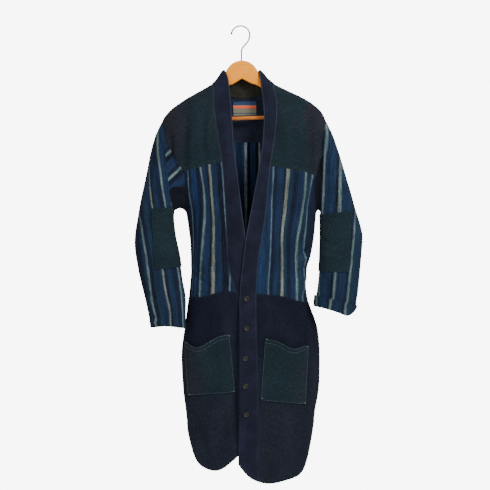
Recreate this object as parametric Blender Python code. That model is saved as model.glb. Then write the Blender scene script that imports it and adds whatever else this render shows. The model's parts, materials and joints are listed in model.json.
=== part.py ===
"""A patchwork dogi coat hanging, buttoned, on a wooden hanger.

The coat faces -Y and +Z is up. The origin is where the hanger's hook rests, the inside of its top.
Sizes and tables are in millimetres and become metres when a mesh is made. Right and left are the
wearer's, so the right half has the lower X.
"""
import math

import bmesh
import bpy
import numpy as np
from mathutils import Vector

MM = 0.001

# Cloth
COTTON = 2.0            # wall of the striped cotton, the tweed and the navy yoke
SASHIKO = 2.4           # wall of the stitched navy skirt
BAND = 3.0              # wall of the folded neck band
SEAM = 0.3              # gap between neighbouring pieces
SLEEVE_SEAM = 0.6       # what the edges that turn most, at the sleeves, leave to each other
LAP = 4.6               # how far the left front stands out where it laps over the right
LAP_TOP = -380.0        # height where the lap begins
LAP_GROWTH = 120.0      # height over which it grows to its full depth
LAP_SIDE = 90.0         # x where the left front starts to stand out
LAP_SLOPE = 45.0        # width over which it does so
SIDE_ROUNDNESS = 2.8    # exponent of the body's sections across their width
SLEEVE_ROUNDNESS = 2.3  # the same for the sleeves
MOUTH_OPENING = 15.0    # how far a pocket's mouth stands open
MOUTH_FADE = 1.6        # power with which that fades down the pocket
SAG_FADE = 2.0          # power with which the mouth's sag does
VALLEY = 7.0            # depth of the hollow between sleeve and body
VALLEY_SHARE = 0.3      # the most that hollow may be, as a share of its width
ARCH = 9.0              # rise of the gusset over the gap between sleeve and body
ELBOW = -620.0          # height where a sleeve's columns are evenly spread round it
EVEN_SHARE = 0.5        # share of a sleeve's length after which all its columns are
CAP_SHARE = 0.4         # share of its length over which its seam blends into its own form
SHARP_ANGLE = math.radians(40)

# Heights of the lines that rows of points follow, where they are level
COLLAR_TOP = -121.0
NECK = -153.5
SHOULDER_TIP = -248.0
UNDERARM = -497.0
BACK_YOKE = -306.0

# Hanger
HANGER_TILT = math.radians(2.0)
HANGER_TOP = -90.0
WOOD_THICKNESS = 12.0
WOOD_ROUNDING = 3.0
DOME_RADIUS = 45.0
BAR_RADIUS = 5.0
BAR_HEIGHT = -243.0
BAR_HALF_LENGTH = 183.6
WIRE_RADIUS = 1.7
HOOK_CENTRE = (-2.0, -22.6)
HOOK_RADIUS = 24.4
HOOK_ARC = (176.0, -31.0, -11.5)    # degrees: first, last and step
HOOK_SHANK = (                      # x and z from the arc down into the wood
    (17.5, -39.0), (11.0, -47.5), (4.0, -55.5), (1.2, -61.0), (0.3, -68.0), (0.3, -80.0),
    (0.3, HANGER_TOP + SEAM),
)

# A button, turned about its middle: radius and height from its back to the dish in its face
BUTTON_PROFILE = (
    (0, 0), (6.4, 0), (7.5, 0.8), (7.5, 2.2), (6.7, 3.2), (5.4, 3.2), (4.6, 2.2), (0, 2.0),
)
BUTTON_STEPS = 14


class Curve:
    """A smooth curve through (at, value) pairs that never overshoots them."""

    def __init__(self, at, values):
        order = np.argsort(at)
        self.at = np.asarray(at, float)[order]
        self.values = np.asarray(values, float)[order]
        slopes = np.diff(self.values) / np.diff(self.at)
        before, after = slopes[:-1], slopes[1:]
        same_way = before * after > 0
        both = np.where(same_way, before + after, 1.0)
        inner = np.where(same_way, 2 * before * after / both, 0.0)
        self.slopes = np.concatenate([slopes[:1], inner, slopes[-1:]])

    def __call__(self, at):
        at = np.clip(at, self.at[0], self.at[-1])
        i = np.clip(np.searchsorted(self.at, at) - 1, 0, len(self.at) - 2)
        step = self.at[i + 1] - self.at[i]
        t = (at - self.at[i]) / step
        rise = self.values[i + 1] - self.values[i]
        start, end = self.slopes[i] * step, self.slopes[i + 1] * step
        return self.values[i] + t * (
            start + t * (3 * rise - 2 * start - end + t * (start + end - 2 * rise))
        )


def table(names, *rows):
    """The named columns of a table as smooth curves over its first column."""
    data = np.array(rows, float)
    return {name: Curve(data[:, 0], data[:, i]) for i, name in enumerate(names.split()) if i}


def line(*points):
    """A seam or an edge as a smooth curve of height over x, or of x over height."""
    data = np.array(points, float)
    return Curve(data[:, 0], data[:, 1])


# The body's sections: side seams or shoulder outline, and half depths, at each height.
BODY = table(
    "z       left   right  front  back",
    (-120,   -48,   50,    14,    13),
    (-152,   -78,   89,    20,    20),
    (-168,   -104,  121,   22,    22),
    (-184,   -136,  156,   24,    24),
    (-205,   -170,  193,   26,    26),
    (-226,   -197,  217,   28,    27),
    (-248,   -213,  227,   30,    28),
    (-287,   -215,  230,   33,    30),
    (-327,   -209,  224,   36,    32),
    (-385,   -178,  213,   40,    35),
    (-433,   -160,  205,   42,    37),
    (-497,   -147,  201,   44,    40),
    (-592,   -136,  190,   45,    42),
    (-656,   -135,  174,   45,    43),
    (-698,   -139,  174,   45,    44),
    (-804,   -154,  206,   48,    46),
    (-868,   -161,  211,   50,    48),
    (-952,   -157,  209,   52,    50),
    (-1053,  -145,  191,   54,    52),
    (-1207,  -139,  182,   55,    53),
)

# The sleeves' sections. Above the underarm the inner edge only guides the front and the back.
RIGHT_SLEEVE = table(
    "z       left   right  middle front  back",
    (-248,   -213,  -136,  0,     12,    12),
    (-287,   -231,  -146,  0,     18,    18),
    (-327,   -242,  -152,  -2,    22,    22),
    (-380,   -253,  -160,  -4,    24,    24),
    (-433,   -263,  -168,  -6,    26,    26),
    (-502,   -275,  -175,  -10,   28,    28),
    (-571,   -284,  -168,  -16,   32,    31),
    (-613,   -279,  -160,  -20,   33,    32),
    (-677,   -266,  -152,  -28,   32,    30),
    (-719,   -255,  -144,  -33,   31,    28),
    (-796,   -239,  -145,  -37,   29,    26),
)
LEFT_SLEEVE = table(
    "z       left   right  middle front  back",
    (-248,   158,   227,   0,     12,    12),
    (-287,   174,   246,   0,     18,    18),
    (-327,   184,   260,   -2,    22,    22),
    (-380,   193,   275,   -4,    24,    24),
    (-433,   201,   289,   -6,    26,    26),
    (-502,   207,   308,   -10,   28,    28),
    (-550,   208,   323,   -14,   32,    31),
    (-613,   206,   318,   -20,   33,    32),
    (-677,   201,   311,   -27,   32,    30),
    (-730,   194,   305,   -32,   31,    28),
    (-768,   192,   292,   -35,   29,    26),
)

# The armholes: where the body and the sleeve each end, at each height.
RIGHT_ARMHOLE = table(
    "z       body   sleeve",
    (-248,   -213,  -213),
    (-269,   -206,  -206),
    (-297,   -202,  -204),
    (-327,   -189,  -201),
    (-354,   -176,  -198),
    (-385,   -152,  -196),
    (-417,   -148,  -192),
    (-444,   -147,  -189),
    (-465,   -146,  -185),
    (-483,   -146,  -180),
    (-497,   -147,  -175),
)
LEFT_ARMHOLE = table(
    "z       body   sleeve",
    (-248,   227,   227),
    (-269,   217,   217),
    (-301,   214,   214),
    (-345,   212,   214),
    (-372,   207,   213),
    (-401,   198,   212),
    (-433,   195,   211),
    (-465,   197,   209),
    (-483,   199,   208),
    (-497,   201,   207),
)

# The neck band: its free edge and its seam with the fronts, as x at each height.
RIGHT_BAND_EDGE = line(
    (-121, -46), (-128, -37), (-247, -24), (-309, -20), (-393, -10), (-544, 9),
    (-619, 20), (-698, 33), (-751, 38), (-1130, 38),
)
RIGHT_BAND_SEAM = line(
    (-153, -77), (-195, -75), (-359, -51), (-460, -44), (-539, -40), (-619, -38),
    (-672, -25), (-698, -14), (-738, -4), (-804, -2), (-1130, -2),
)
LEFT_BAND_EDGE = line(
    (-121, 47), (-150, 51), (-237, 60), (-309, 56), (-415, 39), (-544, 15),
    (-568, 11), (-629, 3), (-725, -5), (-990, -5), (-1190, -9),
)
LEFT_BAND_SEAM = line(
    (-153, 87), (-195, 94), (-261, 91), (-327, 83), (-367, 75), (-446, 69),
    (-523, 59), (-632, 43), (-725, 38), (-857, 40), (-990, 44), (-1220, 47),
)

# Level seams and edges, as height at each x.
COLLAR_BACK_TOP = line((-49, -121), (-30, -132), (1, -138), (31, -132), (51, -121))
COLLAR_BACK_SEAM = line(
    (-80, -153.5), (-55, -175), (-28, -189), (4, -192), (38, -189), (66, -176), (91, -153.5),
)
RIGHT_YOKE_SEAM = line((-184, -385), (-145, -382), (-112, -375), (-82, -365), (-52, -359), (-14, -354))
LEFT_YOKE_SEAM = line((55, -366), (81, -371), (124, -379), (177, -388), (198, -401))
RIGHT_WAIST = line(
    (-154, -715), (-107, -716), (-73, -705), (-60, -700), (-46, -697), (-17, -701), (38, -708),
)
LEFT_WAIST = line((-9, -702), (40, -705), (92, -709), (132, -719), (155, -728), (181, -729))
BACK_WAIST = line((-154, -715), (-60, -708), (30, -706), (110, -715), (181, -729))
RIGHT_HEM = line(
    (-148, -1040), (-144, -1060), (-135, -1101), (-129, -1132), (-115, -1156), (-86, -1170),
    (-70, -1176), (-54, -1172), (-26, -1150), (-3, -1127), (38, -1108),
)
LEFT_HEM = line(
    (-10, -1148), (-2, -1172), (15, -1187), (44, -1201), (81, -1207), (111, -1198), (141, -1191),
    (169, -1170), (182, -1113), (188, -1076), (193, -1050),
)
BACK_HEM = line(
    (-148, -1040), (-140, -1072), (-120, -1098), (-80, -1114), (20, -1124), (110, -1118), (160, -1102),
    (183, -1076), (193, -1050),
)
RIGHT_CUFF = line((-260, -797), (-225, -795), (-200, -792), (-170, -795), (-140, -799))
LEFT_CUFF = line((190, -739), (227, -748), (260, -759), (278, -766), (292, -757), (304, -738))

# Soft folds that stand out from the body, or sink in where the height is negative.
FOLDS = (
    # side, x at top, x at bottom, top z, bottom z, width, height
    ("front", 184, 178, -200, -385, 16, -4.0),
    ("front", 160, 150, -230, -400, 18, 2.5),
    ("front", -150, -128, -240, -420, 20, -3.5),
    ("front", -100, -96, -420, -700, 26, 3.0),
    ("front", 150, 132, -430, -720, 24, -3.5),
    ("front", 112, 110, -520, -720, 22, 3.0),
    ("front", -60, -96, -760, -1130, 34, 3.0),
    ("front", 120, 140, -800, -1150, 36, 3.0),
    ("back", -78, -92, -330, -1080, 34, -6.0),
    ("back", 118, 132, -330, -1080, 36, -6.0),
    ("back", 20, 24, -360, -1100, 44, 4.0),
)

# How rows are spread between two lines: shares of the way from one to the next.
COLLAR_ROWS = (0.5, 1.0)
SHOULDER_ROWS = (0.12, 0.3, 0.52, 0.76, 1.0)
FRONT_ARMHOLE_ROWS = (0.07, 0.22, 0.42, 0.61, 0.8, 1.0)
BACK_ARMHOLE_ROWS = (0.165, 0.52, 1.0)
FRONT_CHEST_ROWS = tuple(np.linspace(0, 1, 6)[1:])
BACK_CHEST_ROWS = tuple(np.linspace(0, 1, 9)[1:])
WAIST_ROWS = tuple(np.linspace(0, 1, 9)[1:])
SKIRT_ROWS = tuple(np.linspace(0, 1, 15)[1:])
SLEEVE_ROWS = 18
FRONT_COLUMNS = 7
BACK_COLUMNS = 14
BAND_COLUMNS = 2
GUSSET_COLUMNS = 3
SIDE_SHARE = 0.45       # how much the columns crowd where a section turns
SAMPLES = 49            # places along a section at which its length is measured
SETTLING_STEPS = 40     # rounds in which points slide along a piece until they lie on its lines

# The armhole rows where the underarm piece and the gusset begin
RIGHT_STRIP_START = 3
RIGHT_GUSSET_START = 8
LEFT_STRIP_START = 4
ARCH_START = 6          # the armhole row where the gusset starts to turn under the arm

# Patches and pockets, by their corners from top left, clockwise
RIGHT_POCKET = ((-149, -833), (-31, -812), (-18, -965), (-140, -975))
LEFT_POCKET = ((63, -824), (177, -844), (169, -998), (50, -986))
RIGHT_POCKET_SAG = (0.36, 20.0)     # where across the mouth it sags most, and how far
LEFT_POCKET_SAG = (0.68, 14.0)
# Elbow patches, by their outer top, inner top, inner bottom and outer bottom corners
RIGHT_ELBOW_PATCH = ((-240, -483), (-160, -478), (-160, -636), (-218, -642))
LEFT_ELBOW_PATCH = ((293, -490), (205, -499), (205, -648), (275, -650))
ELBOW_PATCH_LEAN = 0.5              # how far its outer edge nears the body for each millimetre back
PATCH_FRONT = -40.0                 # depth at which that edge passes through its corners
TURNED_CUFF = ((201, -711), (301, -737), (260, -759))   # two places on its top edge, one below
LABEL = ((-22, -198), (39, -196), (40, -233), (-21, -235))
BUTTONS = ((14, -720), (14, -798), (11, -877), (11, -949), (13, -1023))

NAVY_SASHIKO = ("navy sashiko", (0.012, 0.015, 0.026), 0.9)
NAVY_COTTON = ("navy cotton", (0.012, 0.013, 0.022), 0.9)
STRIPED_COTTON = ("striped cotton", (0.018, 0.045, 0.09), 0.9)
GREEN_TWEED = ("green tweed", (0.018, 0.028, 0.032), 0.95)
LABEL_CLOTH = ("label cloth", (0.4, 0.36, 0.24), 0.8)
HORN = ("dark horn", (0.02, 0.018, 0.015), 0.35)
WOOD = ("honey wood", (0.7, 0.42, 0.16), 0.4)
BAR_WOOD = ("orange wood", (0.5, 0.2, 0.06), 0.45)
STEEL = ("steel wire", (0.4, 0.4, 0.42), 0.3)


class Tube:
    """A hollow form whose level sections are rounded ovals, as the body and each sleeve are."""

    def __init__(self, sections, roundness):
        self.sections = sections
        self.roundness = roundness

    def centre(self, z):
        return (self.sections["left"](z) + self.sections["right"](z)) / 2

    def half_width(self, z):
        return (self.sections["right"](z) - self.sections["left"](z)) / 2

    def middle(self, z):
        return self.sections["middle"](z) if "middle" in self.sections else np.zeros_like(z)

    def turn(self, x, z):
        """How far round the section x lies, from -90 degrees at its left edge to 90 at its right."""
        share = np.clip((x - self.centre(z)) / self.half_width(z), -1, 1)
        return np.arcsin(np.sign(share) * np.abs(share) ** (self.roundness / 2))

    def across(self, turn, z):
        """The x of a turn, the other way round."""
        sine = np.sin(turn)
        return self.centre(z) + self.half_width(z) * np.sign(sine) * np.abs(sine) ** (2 / self.roundness)

    def point(self, turn, z, side):
        """The point at a turn and a height on the front or the back."""
        depth = np.abs(np.cos(turn)) * self.sections[side](z)
        y = self.middle(z) + (depth if side == "back" else -depth)
        return np.stack(np.broadcast_arrays(self.across(turn, z), y, z), axis=-1)

    def normal(self, turn, z, side):
        """The outward direction there, from how the section changes with height."""
        step = 1.0
        share = np.sign(np.sin(turn)) * np.abs(np.sin(turn)) ** (2 / self.roundness)
        deep = np.cos(turn) * (1 if side == "back" else -1)
        width, depth = self.half_width(z), self.sections[side](z)
        push = self.roundness * np.abs(share) ** (self.roundness - 1) * np.sign(share)
        widening = (self.half_width(z + step) - self.half_width(z - step)) / (2 * step)
        drift = (self.centre(z + step) - self.centre(z - step)) / (2 * step)
        deepening = (self.sections[side](z + step) - self.sections[side](z - step)) / (2 * step)
        rise = -push * (drift + share * widening) / width - 2 * deep * deep * deepening / depth
        found = np.stack(np.broadcast_arrays(push / width, 2 * deep / depth, rise), axis=-1)
        return found / np.linalg.norm(found, axis=-1, keepdims=True)

    def spread(self, start, end, z, side, share):
        """The turn at a share of the way from start to end, closer together where the section turns."""
        turns = start[..., None] + (end - start)[..., None] * np.linspace(0, 1, SAMPLES)
        points = self.point(turns, z[..., None] + 0 * turns, side)
        steps = np.linalg.norm(np.diff(points, axis=-2), axis=-1)
        length = np.concatenate([0 * steps[..., :1], np.cumsum(steps, axis=-1)], axis=-1)
        length /= length[..., -1:]
        place = (1 - SIDE_SHARE) * length + SIDE_SHARE * np.linspace(0, 1, SAMPLES)
        shares = np.broadcast_to(share, start.shape).ravel()
        rows = zip(shares, place.reshape(-1, SAMPLES), turns.reshape(-1, SAMPLES))
        return np.array([np.interp(*row) for row in rows]).reshape(start.shape)


class Sheet:
    """A grid of outer points, rows by columns, with the outward direction at each."""

    def __init__(self, points, normals, closed=False):
        self.points = points
        self.normals = normals / np.linalg.norm(normals, axis=-1, keepdims=True)
        self.closed = closed

    def moved_out(self, distance):
        return Sheet(self.points + self.normals * distance, self.normals, self.closed)

    def turned_over(self):
        return Sheet(self.points, -self.normals, self.closed)

    def trimmed(self, distance):
        """The points with each free edge drawn in by a distance, square to that edge."""
        drawn = self.points.copy()
        for axis in (0,) if self.closed else (0, 1):
            for edge, inner in ((0, 1), (-1, -2)):
                at, near = self.points.take(edge, axis), self.points.take(inner, axis)
                if self.closed:
                    along = np.roll(at, -1, axis=0) - np.roll(at, 1, axis=0)
                else:
                    along = np.gradient(at, axis=0)
                way = np.cross(along, self.normals.take(edge, axis))
                way *= np.sign(np.sum(way * (near - at), axis=-1, keepdims=True))
                way *= distance / np.linalg.norm(way, axis=-1, keepdims=True)
                if axis == 0:
                    drawn[edge] += way
                else:
                    drawn[:, edge] += way
        return drawn


BODY_FORM = Tube(BODY, SIDE_ROUNDNESS)


def ease(value):
    """A soft step from 0 to 1."""
    value = np.clip(value, 0, 1)
    return value * value * (3 - 2 * value)


def folds(x, z, side):
    """How far the body's folds stand out at a place."""
    total = np.zeros(np.broadcast(x, z).shape)
    for where, x_top, x_bottom, top, bottom, width, height in FOLDS:
        if where != side:
            continue
        way = (top - z) / (top - bottom)
        middle = x_top + (x_bottom - x_top) * np.clip(way, 0, 1)
        ends = ease(way * 3) * ease((1 - way) * 3)
        total += height * ends * np.exp(-(((x - middle) / width) ** 2))
    return total


def lap(x, z):
    """How far the left front stands out over the right one."""
    return LAP * ease((LAP_TOP - z) / LAP_GROWTH) * ease((LAP_SIDE - x) / LAP_SLOPE)


def body_edge(outline, armhole, z):
    """The body's outer edge: shoulder outline, then armhole, then side seam."""
    in_armhole = (z < SHOULDER_TIP) & (z > UNDERARM)
    return np.where(in_armhole, armhole["body"](z), outline(z))


def right_edge(z):
    """The edge at the wearer's right, which is the left one in the tables."""
    return body_edge(BODY["left"], RIGHT_ARMHOLE, z)


def left_edge(z):
    """The edge at the wearer's left."""
    return body_edge(BODY["right"], LEFT_ARMHOLE, z)


def level(height):
    """A level line at one height."""
    return lambda x: np.full(np.shape(x), float(height))


def panel(side, start, end, lines, rows, columns, stand_out=None):
    """A piece of the body between two edges, x over height, and through a row of level lines.

    rows holds, for each gap between neighbouring lines, the shares of the way where rows lie.
    """
    places = [(0, 0.0)] + [(i, share) for i, shares in enumerate(rows) for share in shares]
    share = np.tile(np.linspace(0, 1, columns + 1), (len(places), 1))
    z = np.tile([[float(lines[i](np.zeros(1))[0])] for i, _ in places], (1, columns + 1))
    for _ in range(SETTLING_STEPS):
        turn = BODY_FORM.spread(
            BODY_FORM.turn(start(z), z), BODY_FORM.turn(end(z), z), z, side, share)
        x = BODY_FORM.across(turn, z)
        on_lines = np.stack([
            lines[i](x[row]) + (lines[i + 1](x[row]) - lines[i](x[row])) * part
            for row, (i, part) in enumerate(places)])
        z = (z + on_lines) / 2
    normals = BODY_FORM.normal(turn, z, side)
    out = folds(x, z, side)
    if stand_out is not None:
        out = out + stand_out(x, z)
    return Sheet(BODY_FORM.point(turn, z, side) + normals * out[..., None], normals)


def rows_between(sheet, first, last, column):
    """The points and directions of one column, from one row to another."""
    return sheet.points[first:last, column], sheet.normals[first:last, column]


def armhole_loop(upper, lower, upper_rows, lower_rows, column):
    """The body's armhole on one side, from the shoulder tip down to the underarm."""
    top = len(upper.points) - upper_rows - 1
    parts = [rows_between(upper, top, None, column), rows_between(lower, 1, lower_rows + 1, column)]
    return [np.concatenate(pair) for pair in zip(*parts)]


def sleeve_seam(form, armhole, body_points, side, first_apart):
    """The sleeve's edge that faces the body: on the body's edge down to first_apart, then its own."""
    seam = body_points.copy()
    z = body_points[first_apart:, 2]
    x = armhole["sleeve"](z)
    turn = form.turn(x, z)
    turn[-1] = math.copysign(math.pi / 2, turn[-1])
    own = form.point(turn, z, side)
    leaving = ease((np.arange(len(z)) + 1) / 3)
    own[:, 1] = seam[first_apart:, 1] + (own[:, 1] - seam[first_apart:, 1]) * leaving
    seam[first_apart:] = own
    return seam


def sleeve_sheet(form, outward, front, back, cuff, first_apart):
    """A sleeve, as columns that run from its seam with the body down to the cuff.

    front and back each hold the seam's points and, where they lie on the body, their directions.
    """
    columns, directions, turns, even, sides = [], [], [], [], []
    for side, (seam, normals) in (("front", front), ("back", back)):
        order = range(len(seam)) if side == "front" else range(len(seam) - 2, 0, -1)
        spread = form.spread(
            np.full(len(seam), outward * math.pi / 2), np.full(len(seam), -outward * math.pi / 2),
            np.full(len(seam), ELBOW), side, np.linspace(0, 1, len(seam)))
        for k in order:
            columns.append(seam[k])
            directions.append(normals[k] if k < first_apart else None)
            turn = form.turn(seam[k][0], seam[k][2])
            turns.append(-outward * math.pi / 2 if k == len(seam) - 1 else float(turn))
            even.append(spread[k])
            sides.append(side)
    turns[0] = outward * math.pi / 2
    shares = np.linspace(0, 1, SLEEVE_ROWS + 1)
    points = np.zeros((len(shares), len(columns), 3))
    for k, (seam, side) in enumerate(zip(columns, sides)):
        turn = turns[k] + (even[k] - turns[k]) * ease(shares / EVEN_SHARE)
        z = seam[2] + shares * (ELBOW - seam[2])
        for _ in range(SETTLING_STEPS):
            z = seam[2] + shares * (cuff(form.across(turn, z)) - seam[2])
        on_form = form.point(turn, z, side)
        away = seam - on_form[0]
        points[:, k] = on_form + away * (np.clip(1 - shares / CAP_SHARE, 0, 1) ** 2)[:, None]
    around = np.roll(points, -1, axis=1) - np.roll(points, 1, axis=1)
    along = np.gradient(points, axis=0)
    normals = np.cross(around, along) * outward
    normals /= np.linalg.norm(normals, axis=-1, keepdims=True)
    for k, direction in enumerate(directions):
        if direction is not None:
            normals[0, k] = direction
    return Sheet(points, normals, closed=True)


def strip_sheet(sleeve_points, sleeve_normals, body_points, body_normals, arch):
    """A piece between sleeve and body. arch is 0 in front, 90 degrees at the underarm, 180 behind."""
    share = np.linspace(0, 1, GUSSET_COLUMNS + 1)[None, :, None]
    bulge = 4 * share * (1 - share)
    width = np.linalg.norm(body_points - sleeve_points, axis=-1)
    deep = np.minimum(VALLEY + (ARCH - VALLEY) * np.sin(arch), VALLEY_SHARE * width)
    inward = np.stack([0 * arch, np.cos(arch), np.sin(arch)], axis=-1)
    points = (
        sleeve_points[:, None] * (1 - share)
        + body_points[:, None] * share
        + (inward * deep[:, None])[:, None] * bulge
    )
    normals = sleeve_normals[:, None] * (1 - share) + body_normals[:, None] * share
    return Sheet(points, normals - inward[:, None] * bulge)


def finish(name, colour, roughness):
    """One material: its colour and roughness, metallic for the wire."""
    material = bpy.data.materials.get(name) or bpy.data.materials.new(name)
    material.use_nodes = True
    shader = material.node_tree.nodes["Principled BSDF"]
    shader.inputs["Base Color"].default_value = (*colour, 1.0)
    shader.inputs["Roughness"].default_value = roughness
    shader.inputs["Metallic"].default_value = 1.0 if "steel" in name else 0.0
    return material


def add_object(name, mesh, look):
    """An object for a finished mesh, with its material and smooth shading."""
    mesh.materials.append(finish(*look))
    mesh.shade_smooth()
    mesh.set_sharp_from_angle(angle=SHARP_ANGLE)
    thing = bpy.data.objects.new(name, mesh)
    bpy.context.scene.collection.objects.link(thing)
    return thing


def mesh_from(name, work):
    """A mesh datablock from a bmesh in millimetres, which is freed."""
    bmesh.ops.scale(work, vec=(MM, MM, MM), verts=work.verts)
    mesh = bpy.data.meshes.new(name)
    work.to_mesh(mesh)
    work.free()
    return mesh


def grid_faces(rows, columns, closed):
    """The corners of two triangles for each cell of a grid whose points are numbered row by row."""
    across = columns if closed else columns - 1
    for row in range(rows - 1):
        for column in range(across):
            after = (column + 1) % columns
            first, second = row * columns + column, row * columns + after
            third, fourth = (row + 1) * columns + after, (row + 1) * columns + column
            yield first, second, third
            yield first, third, fourth


def wall(name, sheet, thickness, look, gap=SEAM):
    """A cloth wall: the sheet outside, the same points moved in inside, and rims round its edges.

    gap is what its edges leave to a neighbour that leaves as much.
    """
    outer = sheet.trimmed(gap / 2)
    inner = outer - sheet.normals * thickness
    rows, columns = outer.shape[:2]
    work = bmesh.new()
    out = [work.verts.new(p) for p in outer.reshape(-1, 3)]
    back = [work.verts.new(p) for p in inner.reshape(-1, 3)]
    for corners in grid_faces(rows, columns, sheet.closed):
        work.faces.new([out[i] for i in corners])
        work.faces.new([back[i] for i in reversed(corners)])
    work.verts.index_update()
    count = len(out)
    rims = [
        [v.index for v in sorted(edge.verts, key=lambda v: tuple(v.co.zxy))]
        for edge in work.edges if edge.is_boundary and edge.verts[0].index < count]
    for low, high in rims:
        work.faces.new((out[low], out[high], back[high]))
        work.faces.new((out[low], back[high], back[low]))
    bmesh.ops.recalc_face_normals(work, faces=work.faces)
    return add_object(name, mesh_from(name, work), look)


def edge_plane(start, end, inside, lean=0.0):
    """A plane through an edge, given in x and z, that faces away from a place inside the outline.

    It leans sideways by lean for each millimetre back.
    """
    along = Vector((end[0] - start[0], 0, end[1] - start[1]))
    away = along.cross(Vector((lean, 1, 0)))
    place = Vector((start[0], PATCH_FRONT, start[1]))
    if away.dot(Vector((inside[0], PATCH_FRONT, inside[1])) - place) > 0:
        away = -away
    return place, away


def cut_planes(corners):
    """The planes through all the edges of an outline in x and z."""
    middle = np.mean(corners, axis=0)
    return [edge_plane(start, end, middle) for start, end in zip(corners, corners[1:] + corners[:1])]


def patch(name, sheet, planes, thickness, look, shape=None):
    """A piece that lies on a panel: the panel's own cells moved out, cut by planes, then thickened."""
    lifted = sheet.moved_out(SEAM)
    rows, columns = lifted.points.shape[:2]
    work = bmesh.new()
    verts = [work.verts.new(p) for p in lifted.points.reshape(-1, 3)]
    for corners in grid_faces(rows, columns, sheet.closed):
        work.faces.new([verts[i] for i in corners])
    work.normal_update()
    work.faces.ensure_lookup_table()
    out = Vector(sheet.normals[0, 0] + sheet.normals[1, 1])
    if work.faces[0].normal.dot(out) < 0:
        bmesh.ops.reverse_faces(work, faces=work.faces)
    for place, away in planes:
        bmesh.ops.bisect_plane(
            work, geom=work.verts[:] + work.edges[:] + work.faces[:],
            plane_co=place, plane_no=away, clear_outer=True)
    bmesh.ops.dissolve_degenerate(work, dist=0.05, edges=work.edges)
    if shape:
        for vert in work.verts:
            vert.co = shape(vert.co)
    thing = add_object(name, mesh_from(name, work), look)
    solid = thing.modifiers.new("cloth", "SOLIDIFY")
    solid.thickness = thickness * MM
    solid.offset = 1.0
    return thing


def pocket_shape(corners, sag):
    """How a pocket hangs: its mouth stands open and sags, and its other edges stay on the skirt."""
    (left_x, left_z), (right_x, right_z), (low_right_x, low_right_z), (low_left_x, low_left_z) = corners
    peak, drop = sag
    skew = math.log(0.5) / math.log(peak)

    def shape(point):
        height = (point.z - low_left_z) / (left_z - low_left_z)
        start = low_left_x + (left_x - low_left_x) * height
        end = low_right_x + (right_x - low_right_x) * height
        across = min(max((point.x - start) / (end - start), 0), 1)
        low = low_left_z + (low_right_z - low_left_z) * across
        top = left_z + (right_z - left_z) * across
        up = min(max((point.z - low) / (top - low), 0), 1)
        bump = math.sin(math.pi * across ** skew)
        return Vector((
            point.x,
            point.y - MOUTH_OPENING * bump * up ** MOUTH_FADE,
            point.z - drop * bump * up ** SAG_FADE,
        ))

    return shape


def lathe(name, profile, steps, look):
    """A turned piece about Z from (radius, height) points that start and end on the axis."""
    work = bmesh.new()
    verts = [work.verts.new((radius, 0, height)) for radius, height in profile]
    edges = [work.edges.new(pair) for pair in zip(verts, verts[1:])]
    bmesh.ops.spin(
        work, geom=verts + edges, cent=(0, 0, 0), axis=(0, 0, 1), angle=math.tau, steps=steps,
        use_merge=True)
    bmesh.ops.remove_doubles(work, verts=work.verts, dist=0.001)
    bmesh.ops.recalc_face_normals(work, faces=work.faces)
    return add_object(name, mesh_from(name, work), look)


def build_hook():
    """The wire hook: an arc over the rail, a slanting neck and a straight shank into the wood."""
    centre_x, centre_z = HOOK_CENTRE
    route = [
        (centre_x + HOOK_RADIUS * math.cos(angle), centre_z + HOOK_RADIUS * math.sin(angle))
        for angle in np.radians(np.arange(*HOOK_ARC))]
    route += HOOK_SHANK
    curve = bpy.data.curves.new("hanger_hook", "CURVE")
    curve.dimensions = "3D"
    curve.bevel_depth = WIRE_RADIUS * MM
    curve.bevel_resolution = 2
    curve.use_fill_caps = True
    spline = curve.splines.new("POLY")
    spline.points.add(len(route) - 1)
    for point, (x, z) in zip(spline.points, route):
        point.co = (x * MM, 0, z * MM, 1)
    curve.materials.append(finish(*STEEL))
    hook = bpy.data.objects.new("hanger_hook", curve)
    bpy.context.scene.collection.objects.link(hook)


def hanger_outline():
    """The wood's outline in x and z from the hook's shank: a dome, two arms and a notched underside."""
    dome = [
        (DOME_RADIUS * math.sin(angle), HANGER_TOP - DOME_RADIUS + DOME_RADIUS * math.cos(angle))
        for angle in np.radians((0, 13, 26, 39, 52, 65, 76))]
    arm_top = [
        (48, -135), (60, -145), (78, -158), (104, -172), (136, -186), (170, -205), (194, -227),
        (202, -239)]
    arm_end = [(202, -251), (196, -259), (186, -259), (184, -236)]
    underside = [
        (160, -223), (130, -206), (100, -191), (75, -178), (55, -166), (43, -154), (34, -149.5)]
    notch = [(22, -149.5), (12, -146), (0, -136.5)]
    half = dome + arm_top + arm_end + underside + notch
    return half + [(-x, z) for x, z in reversed(half[1:-1])]


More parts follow.
